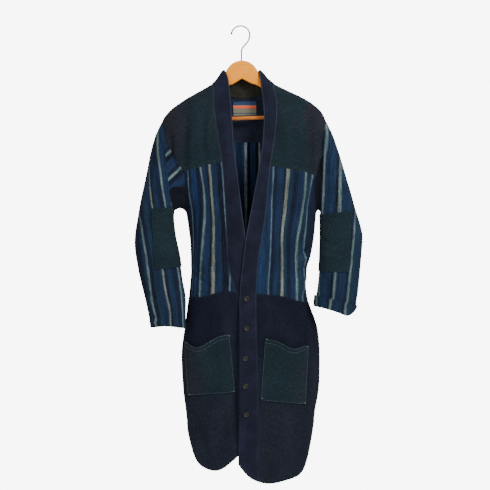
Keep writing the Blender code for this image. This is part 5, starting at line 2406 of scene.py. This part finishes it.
# The finish of a piece, or of the cloth that it is made of where it has none of its own
FINISHES = {
    "front_right": RIGHT_FRONT_CLOTH, "front_left": LEFT_FRONT_CLOTH, "sleeve_right": RIGHT_SLEEVE_CLOTH,
    "sleeve_left": LEFT_SLEEVE_CLOTH, "turned_cuff_left": LEFT_SLEEVE_CLOTH, "back": LIT_BACK_CLOTH,
    "underarm_front_right": UNDERARM_CLOTH, "underarm_back_right": UNDERARM_CLOTH,
    "yoke_back": BACK_YOKE_CLOTH, "gusset_right": GUSSET_CLOTH, "gusset_left": GUSSET_CLOTH,
    "neck_band_back": COLLAR_CLOTH, Cloth.TWEED: TWEED, Cloth.SASHIKO: SKIRT_CLOTH, Cloth.NAVY: BAND_CLOTH,
}


class Sewing(Enum):
    """The threads that the coat is sewn with."""

    PALE = Thread("pale_thread", tone(92, 106, 110))
    SOFT = Thread("soft_thread", tone(56, 70, 76))
    DIM = Thread("dim_thread", tone(38, 44, 60))
    DARK = Thread("dark_thread", tone(18, 21, 32))
    WARM = Thread("warm_thread", tone(76, 68, 54))


class Looks:
    """The materials, each built when it is first asked for."""

    def __init__(self) -> None:
        """Start with none."""
        self.built: dict[str, bpy.types.Material] = {}

    def get(self, finish: object) -> bpy.types.Material:
        """Return the material of a finish.

        Args:
            finish: The finish.

        Returns:
            Its material.
        """
        if finish.name not in self.built:
            self.built[finish.name] = finish.build()
        return self.built[finish.name]

    def of_cloth(self, node: str, cloth: Cloth) -> bpy.types.Material:
        """Return the material of a cloth piece, its own one if it has one."""
        return self.get(FINISHES.get(node) or FINISHES[cloth])


@dataclass
class Coat:
    """The coat's cloth: the panels joined into one skin, creased, and taken apart again."""

    looks: Looks
    faces: dict[str, Surface] = field(default_factory=dict)

    def hang(self, nodes: dict[str, bpy.types.Object]) -> None:
        """Sew the coat together and let it hang.

        Args:
            nodes: The CAD nodes.
        """
        skin = sew(outer_panels(nodes))
        for number, cut in enumerate(skin.cuts):
            if cut.node in STRIPES:
                face = surface_of(skin, number, skin.points)
                skin.cloth[skin.owner == number] = StripeGuide(cut.node).slide(face)
        Drape().hang(skin)
        owners, normals = skin.owners_of_points(), skin.normals()
        for number, cut in enumerate(skin.cuts):
            self.faces[cut.node] = surface_of(skin, number, normals, owners)
        for name in NARROW + ("neck_band_back",):
            face = self.faces[name]
            self.close_up(face)
            if name.startswith("underarm"):
                face.cloth = slanting(face.points, face.faces)
        self.raise_collar(self.faces["neck_band_back"])
        for face in self.faces.values():
            self.make(face)

    def raise_collar(self, face: Surface, rise: float = 7.5 * MM, width: float = 34 * MM) -> None:
        """Raise the upper edge of the neck band's back where the hanger's wood stands before it.

        Args:
            face: The piece's face.
            rise: How much its middle goes up.
            width: How far to either side that reaches.
        """
        x, z = face.points[:, 0], face.points[:, 2]
        middle = z[np.abs(x) < 14 * MM]
        face.points[:, 2] += rise * bell(x, width) * soft_step(middle.min() + 2 * MM, middle.max(), z)

    def close_up(self, face: Surface) -> None:
        """Move a narrow piece's loose edges onto the edges beside them.

        Args:
            face: The piece's face.
        """
        reach = NARROW_REACH if face.cut.node in NARROW else REACH
        others = [
            other.points[corner] for other in self.faces.values()
            if other.cut.node not in (face.cut.node, "neck_band_back") for corner in rim_of(other.faces)]
        tree = tree_of(others)
        for corner in rim_of(face.faces):
            place, _, away = tree.find(face.points[corner])
            if len(face.beside[corner]) == 1 and away < reach:
                face.points[corner] = place

    def make(self, face: Surface) -> None:
        """Mark one piece of cloth and make it from its face."""
        self.mark(face)
        make_sheet(face, self.looks.of_cloth(face.cut.node, face.cut.cloth), face.cut.wall)

    def mark(self, face: Surface) -> None:
        """Say where a piece's cloth differs from place to place, as the photograph shows it.

        Args:
            face: The piece's face.
        """
        node = face.cut.node
        x, z = face.points[:, 0] / MM, face.points[:, 2] / MM
        if node.startswith("yoke_front"):
            # The plum share rises on each yoke's outer part: partly the tweed's plum yarn, partly painted
            # shade beside the fold at the shoulder
            outer = np.maximum(soft_step(-126, -178, x), soft_step(158, 192, x))
            face.marks["plum"] = 0.1 + 0.24 * soft_step(-370, -230, z) + 0.48 * outer
        elif node.startswith("neck_band"):
            away = distances(face.points, face.points[rim_of(face.faces)], 8 * MM)
            # Lower down less of the worn pale edge shows: this part is painted shade, where the band's edge
            # lies in the shade between the fronts
            unshaded_share = 0.15 + 0.85 * soft_step(-860, -480, z)
            face.marks["edge"] = (1 - soft_step(0.2 * MM, 2.2 * MM, away)) * unshaded_share
        elif node == "pocket_right":
            edge = -104 + 7 * np.sin((z + 833) / 22) + 0.06 * (z + 900)
            face.marks["plum"] = 0.08 + 0.5 * soft_step(26, -26, x - edge)
        elif node == "pocket_left":
            low = soft_step(-860, -960, z)
            face.marks["plum"] = 0.08 + 0.48 * soft_step(100, 165, x + 24 * low - 16) * (0.3 + 0.7 * low)
        elif node.startswith("elbow_patch"):
            face.marks["plum"] = np.full(len(face.points), 0.12)

    def layer(self, slip: float = 3.5 * MM, stand: float = 3.4 * MM) -> None:
        """Sew the second layers on: pockets, elbow patches and the turned cuff.

        Args:
            slip: How far the cuff's stripes are off the sleeve's.
            stand: How far its upper edge stands out.
        """
        for layer in LAYERS:
            face = layer.trimmed(self.faces[layer.base])
            if isinstance(layer, Pocket):
                face = layer.shaped(face)
            out = np.full(len(face.points), LAYER_GAP + COTTON)
            if layer.node == "turned_cuff_left":
                face.cloth = [[(across - slip, -along) for across, along in places] for places in face.cloth]
                height = face.points[:, 2]
                out += stand * soft_step(height.min(), height.max(), height)
            self.mark(face)
            self.faces[layer.node] = face.moved(out[:, None])
            make_sheet(
                self.faces[layer.node], self.looks.of_cloth(layer.node, layer.cloth), face.cut.wall)


def sharing(*names: str) -> Callable[[Surface], np.ndarray]:
    """Make a rule that passes the points that these pieces share."""
    return lambda face: np.array([bool(found & set(names)) for found in face.beside])


def free(face: Surface) -> np.ndarray:
    """Pass the points that no other piece shares."""
    return np.array([len(found) == 1 for found in face.beside])


def mouth(face: Surface) -> np.ndarray:
    """Pass a pocket's mouth."""
    return face.marks["mouth"] > 0.995


def around(face: Surface) -> np.ndarray:
    """Pass a pocket's sides and bottom."""
    return face.marks["mouth"] < 0.999


@dataclass
class Topstitching:
    """The rows of stitches along the coat's seams, edges and layers."""

    coat: Coat
    looks: Looks
    count: int = 0

    def rows(
            self, node: str, keep: Callable[[Surface], np.ndarray], insets: Sequence[float],
            thread: Sewing, how: Stitching) -> None:
        """Sew rows along one part of a piece's edge.

        Args:
            node: The piece.
            keep: Says which of its points the rows pass.
            insets: How far inside the edge they run, in millimetres.
            thread: Their thread.
            how: What their stitches are like.
        """
        face = self.coat.faces[node]
        chosen = keep(face)
        for inset in insets:
            how.sew_on(
                f"{node}_stitches_{self.count}", edge_runs(face, chosen, inset * MM),
                self.looks.get(thread.value))
            self.count += 1

    def tack(self, node: str) -> None:
        """Sew a short bar across each corner of a pocket.

        Args:
            node: The pocket.
        """
        face = self.coat.faces[node]
        corners = np.array([layer.corners for layer in LAYERS if layer.node == node][0])
        runs = []
        for x, z in corners + (corners.mean(axis=0) - corners) * 0.05:
            away = np.hypot(face.points[:, 0] - x * MM, face.points[:, 2] - z * MM)
            middle = face.points[int(np.argmin(away))]
            runs.append(face.nearest([middle + np.array([step * MM, 0, 0]) for step in (-4, -2, 0, 2, 4)]))
        bar = Stitching(0.8 * MM, 2.6 * MM, 0.34 * MM, 80.0)
        bar.sew_on(f"{node}_tacks", runs, self.looks.get(Sewing.PALE.value))

    def sew(self) -> None:
        """Sew them all."""
        fine = Stitching(3.4 * MM, 2.3 * MM, 0.3 * MM)
        tonal = Stitching(4.6 * MM, 3.2 * MM, 0.26 * MM)
        for side in ("right", "left"):
            yoke, front, pocket = f"yoke_front_{side}", sharing(f"front_{side}"), f"pocket_{side}"
            self.rows(yoke, front, (2.2, 6.6), Sewing.SOFT, fine)
            self.rows(yoke, sharing(f"neck_band_{side}"), (2.4,), Sewing.DIM, tonal)
            self.rows(pocket, mouth, (1.6,), Sewing.PALE, fine)
            self.rows(pocket, around, (1.8,), Sewing.PALE, fine)
            self.rows(pocket, mouth, (11.0,), Sewing.PALE, fine)
            self.tack(pocket)
            self.rows(f"elbow_patch_{side}", Surface.everywhere, (2.2,), Sewing.DIM, fine)
            self.rows(f"neck_band_{side}", Surface.everywhere, (2.6,), Sewing.DIM, tonal)
            self.rows(f"skirt_front_{side}", free, (16.5,), Sewing.DARK, tonal)
            self.rows(f"skirt_front_{side}", front, (2.4,), Sewing.DIM, tonal)
            self.rows(f"sleeve_{side}", free, (16.5,), Sewing.DARK, tonal)
        self.rows("skirt_back", free, (16.5,), Sewing.DARK, tonal)
        self.rows("skirt_back", sharing("back"), (2.4,), Sewing.DIM, tonal)
        self.rows("yoke_back", sharing("back"), (2.2, 6.6), Sewing.DIM, fine)
        self.rows("neck_band_back", Surface.everywhere, (2.6,), Sewing.DARK, tonal)
        self.rows("turned_cuff_left", Surface.everywhere, (2.4,), Sewing.DIM, tonal)


@dataclass(frozen=True)
class Label:
    """The woven label inside the back of the neck."""

    corners: tuple[Place, ...] = ((-22, -198), (39, -196), (40, -233), (-21, -235))
    flat: Place = (0.062, 0.038)
    area: float = 0.0023

    def make(self, coat: Coat, looks: Looks) -> None:
        """Make it on the yoke's inner face.

        Args:
            coat: The coat.
            looks: The materials.
        """
        yoke = coat.faces["yoke_back"]
        inner = Surface(
            yoke.cut, yoke.points - yoke.normals * (COTTON + LAYER_GAP), -yoke.normals,
            [list(reversed(corners)) for corners in yoke.faces],
            [list(reversed(places)) for places in yoke.cloth])
        layer = Layer("label", "yoke_back", Cloth.LABEL, self.corners, self.flat, self.area)
        face = layer.trimmed(inner).moved(LABEL_WALL)
        finish = LabelCloth("woven_label", tone(116, 116, 97), tone(34, 58, 96), tone(240, 88, 52))
        make_sheet(face, looks.get(finish), LABEL_WALL)
        runs = edge_runs(face, face.everywhere(), 1.4 * MM)
        row = Stitching(2.6 * MM, 1.8 * MM, 0.18 * MM)
        row.sew_on("label_stitches", runs, looks.get(Sewing.DIM.value))


@dataclass(frozen=True)
class Buttons:
    """Five horn buttons with four holes, sewn on with two crossed threads.

    Attributes:
        count: How many there are.
        profile: Half a button's section, as radius and height in millimetres.
        hole_at: How far each hole is from the middle.
        hole_radius: Its radius.
        rest: How high the threads lie on the button.
        turn: How much further each button is turned than the one before, in radians.
    """

    count: int = 5
    profile: tuple[Place, ...] = (
        (0.0, 0.0), (6.2, 0.0), (7.2, 0.5), (7.5, 1.3), (7.3, 2.2), (6.7, 2.9), (6.0, 3.1), (5.3, 2.9),
        (4.6, 2.2), (3.6, 1.9), (0.0, 1.8))
    hole_at: float = 1.7 * MM
    hole_radius: float = 0.75 * MM
    rest: float = 2.0 * MM
    turn: float = 0.35

    def model(self) -> bpy.types.Object:
        """Turn one button, drill it and leave it at the origin with its face up.

        Returns:
            The button.
        """
        work = bmesh.new()
        verts = [work.verts.new((radius * MM, 0, height * MM)) for radius, height in self.profile]
        edges = [work.edges.new(pair) for pair in zip(verts, verts[1:])]
        bmesh.ops.spin(
            work, geom=verts + edges, cent=(0, 0, 0), axis=(0, 0, 1), angle=math.tau, steps=40,
            use_merge=True)
        bmesh.ops.remove_doubles(work, verts=work.verts, dist=SAME)
        bmesh.ops.recalc_face_normals(work, faces=work.faces)
        button = new_object("button_model", [], [])
        work.to_mesh(button.data)
        work.free()
        for number in range(4):
            turn = math.tau * (number + 0.5) / 4
            show_only()
            bpy.ops.mesh.primitive_cylinder_add(
                vertices=14, radius=self.hole_radius, depth=8 * MM,
                location=(self.hole_at * math.cos(turn), self.hole_at * math.sin(turn), 2 * MM))
            drill = bpy.context.active_object
            cut = button.modifiers.new("hole", "BOOLEAN")
            cut.object = drill
            cut.solver = "EXACT"
            show_only(button)
            bpy.ops.object.modifier_apply(modifier="hole")
            bpy.data.objects.remove(drill, do_unlink=True)
        return button

    def make(self, looks: Looks) -> None:
        """Put a copy at each place.

        Args:
            looks: The materials.
        """
        horn = looks.get(Horn("dark_horn", tone(8, 8, 8), tone(36, 32, 26)))
        model = self.model()
        strand, strand_faces = Stitching(1.0, 4.6 * MM, 0.42 * MM).stitch()
        for number in range(1, self.count + 1):
            low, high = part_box(f"button_{number}")
            middle = (low + high) / 2
            matrix = (
                Matrix.Translation((middle.x, high.y, middle.z)) @ Matrix.Rotation(math.pi / 2, 4, "X")
                @ Matrix.Rotation(self.turn * number, 4, "Z"))
            button = model.copy()
            button.data = model.data.copy()
            button.name = f"button_{number}_horn"
            bpy.context.scene.collection.objects.link(button)
            button.data.transform(matrix)
            finish_piece(button, horn, f"button_{number}", 40.0)
            points, faces = [], []
            for turn in (math.pi / 4, -math.pi / 4):
                frame = matrix @ Matrix.Translation((0, 0, self.rest)) @ Matrix.Rotation(turn, 4, "Z")
                faces += [[corner + len(points) for corner in corners] for corners in strand_faces]
                points += [tuple(frame @ Vector(point)) for point in strand.tolist()]
            threads = new_object(f"button_{number}_thread", points, faces)
            finish_piece(threads, looks.get(Sewing.WARM.value))
        bpy.data.objects.remove(model, do_unlink=True)
        LOG.info("made the buttons")


def face_out(thing: bpy.types.Object) -> None:
    """Turn all of a closed object's faces outwards.

    Args:
        thing: The object.
    """
    show_only(thing)
    bpy.ops.object.mode_set(mode="EDIT")
    bpy.ops.mesh.select_all(action="SELECT")
    bpy.ops.mesh.normals_make_consistent(inside=False)
    bpy.ops.object.mode_set(mode="OBJECT")


@dataclass(frozen=True)
class Hanger:
    """The wooden hanger: the flat wood, its wire hook and its round bar.

    Attributes:
        wire: The wire's radius.
        ball: The radius of the ball at its end.
        start: How far inside the ball's end the wire's first ring is.
        hook_centre: The middle of the hook's bend in x and z, in millimetres.
        hook_radius: The bend's radius, in millimetres.
        shank: The wire's course below the bend, in millimetres.
        bar_radius: The round bar's radius.
        thickness: The flat wood's thickness.
        rounding: How far its edges are rounded.
        top: The height of its top, in millimetres.
        dome: The radius of its head, in millimetres.
    """

    wire: float = 2.0 * MM
    ball: float = 3.0 * MM
    start: float = 0.12 * MM
    hook_centre: Place = (-2.0, -22.6)
    hook_radius: float = 24.4
    shank: tuple[Place, ...] = (
        (17.5, -39.0), (11.0, -47.5), (4.0, -55.5), (1.2, -61.0), (0.3, -68.0), (0.3, -80.0), (0.3, -89.7))
    bar_radius: float = 5.0 * MM
    thickness: float = 12.0 * MM
    rounding: float = 2.6 * MM
    top: float = -90.0
    dome: float = 45.0

    def make_hook(self, look: bpy.types.Material) -> None:
        """Bend the wire.

        Args:
            look: Its material.
        """
        centre_x, centre_z = self.hook_centre
        bend = [
            (centre_x + self.hook_radius * math.cos(angle), centre_z + self.hook_radius * math.sin(angle))
            for angle in np.radians(np.arange(176.0, -31.0, -11.5))]
        route = rounded(np.array(bend + list(self.shank)) * MM, 5)
        run = self.start + lengths(route)
        ball = np.sqrt(np.clip(self.ball ** 2 - (run - self.ball) ** 2, 0, None))
        radii = np.where(run < self.ball, ball, np.maximum(ball, self.wire))
        sides = 16
        points = []
        for (x, z), (along_x, along_z), radius in zip(route, unit(np.gradient(route, axis=0)), radii):
            for side in range(sides):
                turn = math.tau * side / sides
                out = radius * math.cos(turn)
                points.append((x - along_z * out, radius * math.sin(turn), z + along_x * out))
        hook = new_object("hook_wire", points, tube_faces(len(route), sides))
        face_out(hook)
        finish_piece(hook, look, "hanger_hook", 50.0)

    def make_bar(self, look: bpy.types.Material) -> None:
        """Turn the round bar between the arms.

        Args:
            look: Its material.
        """
        low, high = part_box("hanger_bar")
        show_only()
        bpy.ops.mesh.primitive_cylinder_add(
            vertices=40, radius=self.bar_radius, depth=high.x - low.x, location=(0, 0, 0),
            rotation=(0, math.pi / 2, 0))
        bar = bpy.context.active_object
        bpy.ops.object.transform_apply(location=True, rotation=True, scale=True)
        bar.name = "bar_wood"
        bar.data.transform(Matrix.Translation((low + high) / 2) @ Matrix.Rotation(TILT, 4, "Y"))
        finish_piece(bar, look, "hanger_bar", 40.0)

    def outline(self) -> list[Place]:
        """Return the wood's outline in x and z from the hook's shank, in millimetres.

        Returns:
            Its corners, in order.
        """
        head = [
            (self.dome * math.sin(angle), self.top - self.dome + self.dome * math.cos(angle))
            for angle in np.radians(np.arange(0, 77, 4))]
        arm_top = [
            (45.8, -131.5), (49.5, -139.5), (56, -147), (65, -152.5), (77, -158.5), (91, -165), (104, -172),
            (120, -178.5), (136, -186), (153, -195), (170, -205), (184, -216), (194, -227), (199, -233),
            (202, -239)]
        arm_end = [(202.6, -245), (201.5, -251), (199, -256), (195, -259), (190, -260), (186, -258.5)]
        underside = [
            (185, -247), (184, -237), (172, -230), (160, -223), (145, -214), (130, -206), (115, -198),
            (100, -191), (87, -184), (75, -178), (64, -172), (55, -167), (48, -162.5), (42, -158.5),
            (36, -155.4), (31, -153.8)]
        notch = [(26.8, -152.9), (24, -151.6), (12, -144.8), (2.4, -139.2), (0, -138.2)]
        half = head + arm_top + arm_end + underside + notch
        return half + [(-x, z) for x, z in reversed(half[1:-1])]

    def make_wood(self, look: bpy.types.Material) -> None:
        """Saw the flat wood and round its edges.

        Args:
            look: Its material.
        """
        tilt = Matrix.Translation((0, 0, self.top * MM)) @ Matrix.Rotation(TILT, 4, "Y")
        points = [
            tuple(tilt @ Vector((x * MM, -self.thickness / 2, (z - self.top) * MM)))
            for x, z in self.outline()]
        wood = new_object("hanger_wood", points, [range(len(points))])
        show_only(wood)
        bpy.ops.object.mode_set(mode="EDIT")
        bpy.ops.mesh.select_all(action="SELECT")
        bpy.ops.mesh.extrude_region_move(TRANSFORM_OT_translate={"value": (0, self.thickness, 0)})
        bpy.ops.object.mode_set(mode="OBJECT")
        face_out(wood)
        rounding = wood.modifiers.new("rounding", "BEVEL")
        rounding.width = self.rounding
        rounding.segments = 4
        rounding.limit_method = "ANGLE"
        rounding.angle_limit = math.radians(60)
        bpy.ops.object.modifier_apply(modifier="rounding")
        finish_piece(wood, look, "hanger_body", 35.0)

    def make(self, looks: Looks) -> None:
        """Make the wood, the hook and the bar.

        Args:
            looks: The materials.
        """
        self.make_wood(looks.get(Wood("honey_wood", tone(244, 152, 8), tone(212, 118, 6), Grain.ARCHED)))
        self.make_hook(looks.get(Steel("steel_wire", tone(72, 66, 60))))
        self.make_bar(looks.get(Wood("orange_wood", tone(196, 116, 44), tone(128, 66, 22), Grain.ALONG)))
        LOG.info("made the hanger")


@dataclass(frozen=True)
class Studio:
    """The pale floor, the soft lights and the camera at the photograph's place.

    Attributes:
        distance: How far in front of the coat the camera is.
        across: The camera's x.
        height: Its height.
        width: How much it sees across at the coat, in metres.
        sensor: The width of its sensor, in millimetres.
        floor: The floor's height.
        floor_radius: Its radius.
        ambient: How much light comes from all around.
        backdrop: How bright the surroundings look.
        target: Where the lights point.
        lights: For each light its name, place, side and power in watts.
    """

    distance: float = 5.0
    across: float = 9.8 * MM
    height: float = -578.8 * MM
    width: float = 1.2985
    sensor: float = 36.0
    floor: float = -1.45
    floor_radius: float = 1.4
    ambient: float = 0.48
    backdrop: float = 8.0
    target: tuple[float, ...] = (0.0, 0.0, -0.55)
    lights: tuple[tuple[str, tuple[float, ...], float, float], ...] = (
        ("key", (2.1, -2.4, 1.3), 1.2, 168), ("fill", (-2.3, -2.8, 0.3), 2.6, 60),
        ("top", (0.2, 0.4, 2.6), 2.2, 40), ("back", (-0.9, 2.7, 2.0), 1.6, 80))

    def place_camera(self, scene: bpy.types.Scene) -> None:
        """Look at the coat from in front.

        Args:
            scene: The scene.
        """
        camera = bpy.data.cameras.new("camera")
        camera.sensor_width = self.sensor
        camera.lens = self.sensor * self.distance / self.width
        eye = bpy.data.objects.new("camera", camera)
        eye.location = (self.across, -self.distance, self.height)
        eye.rotation_euler = (math.pi / 2, 0, 0)
        scene.collection.objects.link(eye)
        scene.camera = eye

    def place_lights(self, scene: bpy.types.Scene) -> None:
        """Add the soft lights and the white surroundings.

        Args:
            scene: The scene.
        """
        for name, place, size, power in self.lights:
            light = bpy.data.lights.new(name, "AREA")
            light.shape = "SQUARE"
            light.size = size
            light.energy = power
            lamp = bpy.data.objects.new(name, light)
            lamp.location = place
            way = Vector(self.target) - Vector(place)
            lamp.rotation_euler = way.to_track_quat("-Z", "Y").to_euler()
            scene.collection.objects.link(lamp)
        world = bpy.data.worlds.new("studio")
        world.use_nodes = True
        tree = world.node_tree
        background = tree.nodes["Background"]
        background.inputs["Color"].default_value = (1.0, 1.0, 1.0, 1.0)
        path = tree.nodes.new("ShaderNodeLightPath")
        seen = tree.nodes.new("ShaderNodeMapRange")
        seen.inputs["To Min"].default_value = self.ambient
        seen.inputs["To Max"].default_value = self.backdrop
        tree.links.new(path.outputs["Is Camera Ray"], seen.inputs["Value"])
        tree.links.new(seen.outputs[0], background.inputs["Strength"])
        scene.world = world

    def set_up(self) -> None:
        """Place the camera, the lights and the floor."""
        self.place_camera(bpy.context.scene)
        self.place_lights(bpy.context.scene)
        show_only()
        bpy.ops.mesh.primitive_circle_add(
            vertices=96, radius=self.floor_radius, fill_type="NGON", location=(0, 0, self.floor))
        floor = bpy.context.active_object
        bpy.ops.object.transform_apply(location=True, rotation=True, scale=True)
        floor.name = "floor"
        floor.data.materials.append(Plaster("pale_floor", tone(245, 244, 241)).build())
        LOG.info("set up the studio")


def dress_nodes(nodes: dict[str, bpy.types.Object], looks: Looks) -> None:
    """Give every CAD node its material, hidden ones too.

    Args:
        nodes: The CAD nodes.
        looks: The materials.
    """
    slots = {cut.node: looks.of_cloth(cut.node, cut.cloth) for cut in CUTS}
    slots |= {layer.node: looks.of_cloth(layer.node, layer.cloth) for layer in LAYERS}
    slots["hanger_body"] = looks.built["honey_wood"]
    slots["hanger_bar"] = looks.built["orange_wood"]
    slots["hanger_hook"] = looks.built["steel_wire"]
    slots["label"] = looks.built["woven_label"]
    for number in range(1, 6):
        slots[f"button_{number}"] = looks.built["dark_horn"]
    for name, look in slots.items():
        nodes[name].data.materials.clear()
        nodes[name].data.materials.append(look)


def main() -> None:
    """Build the coat piece by piece."""
    logging.basicConfig(level=logging.INFO, format="%(message)s")
    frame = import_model()
    Studio().set_up()
    looks = Looks()
    coat = Coat(looks)
    coat.hang(frame["nodes"])
    coat.layer()
    Label().make(coat, looks)
    Topstitching(coat, looks).sew()
    Buttons().make(looks)
    Hanger().make(looks)
    dress_nodes(frame["nodes"], looks)


if __name__ == "__main__":
    main()
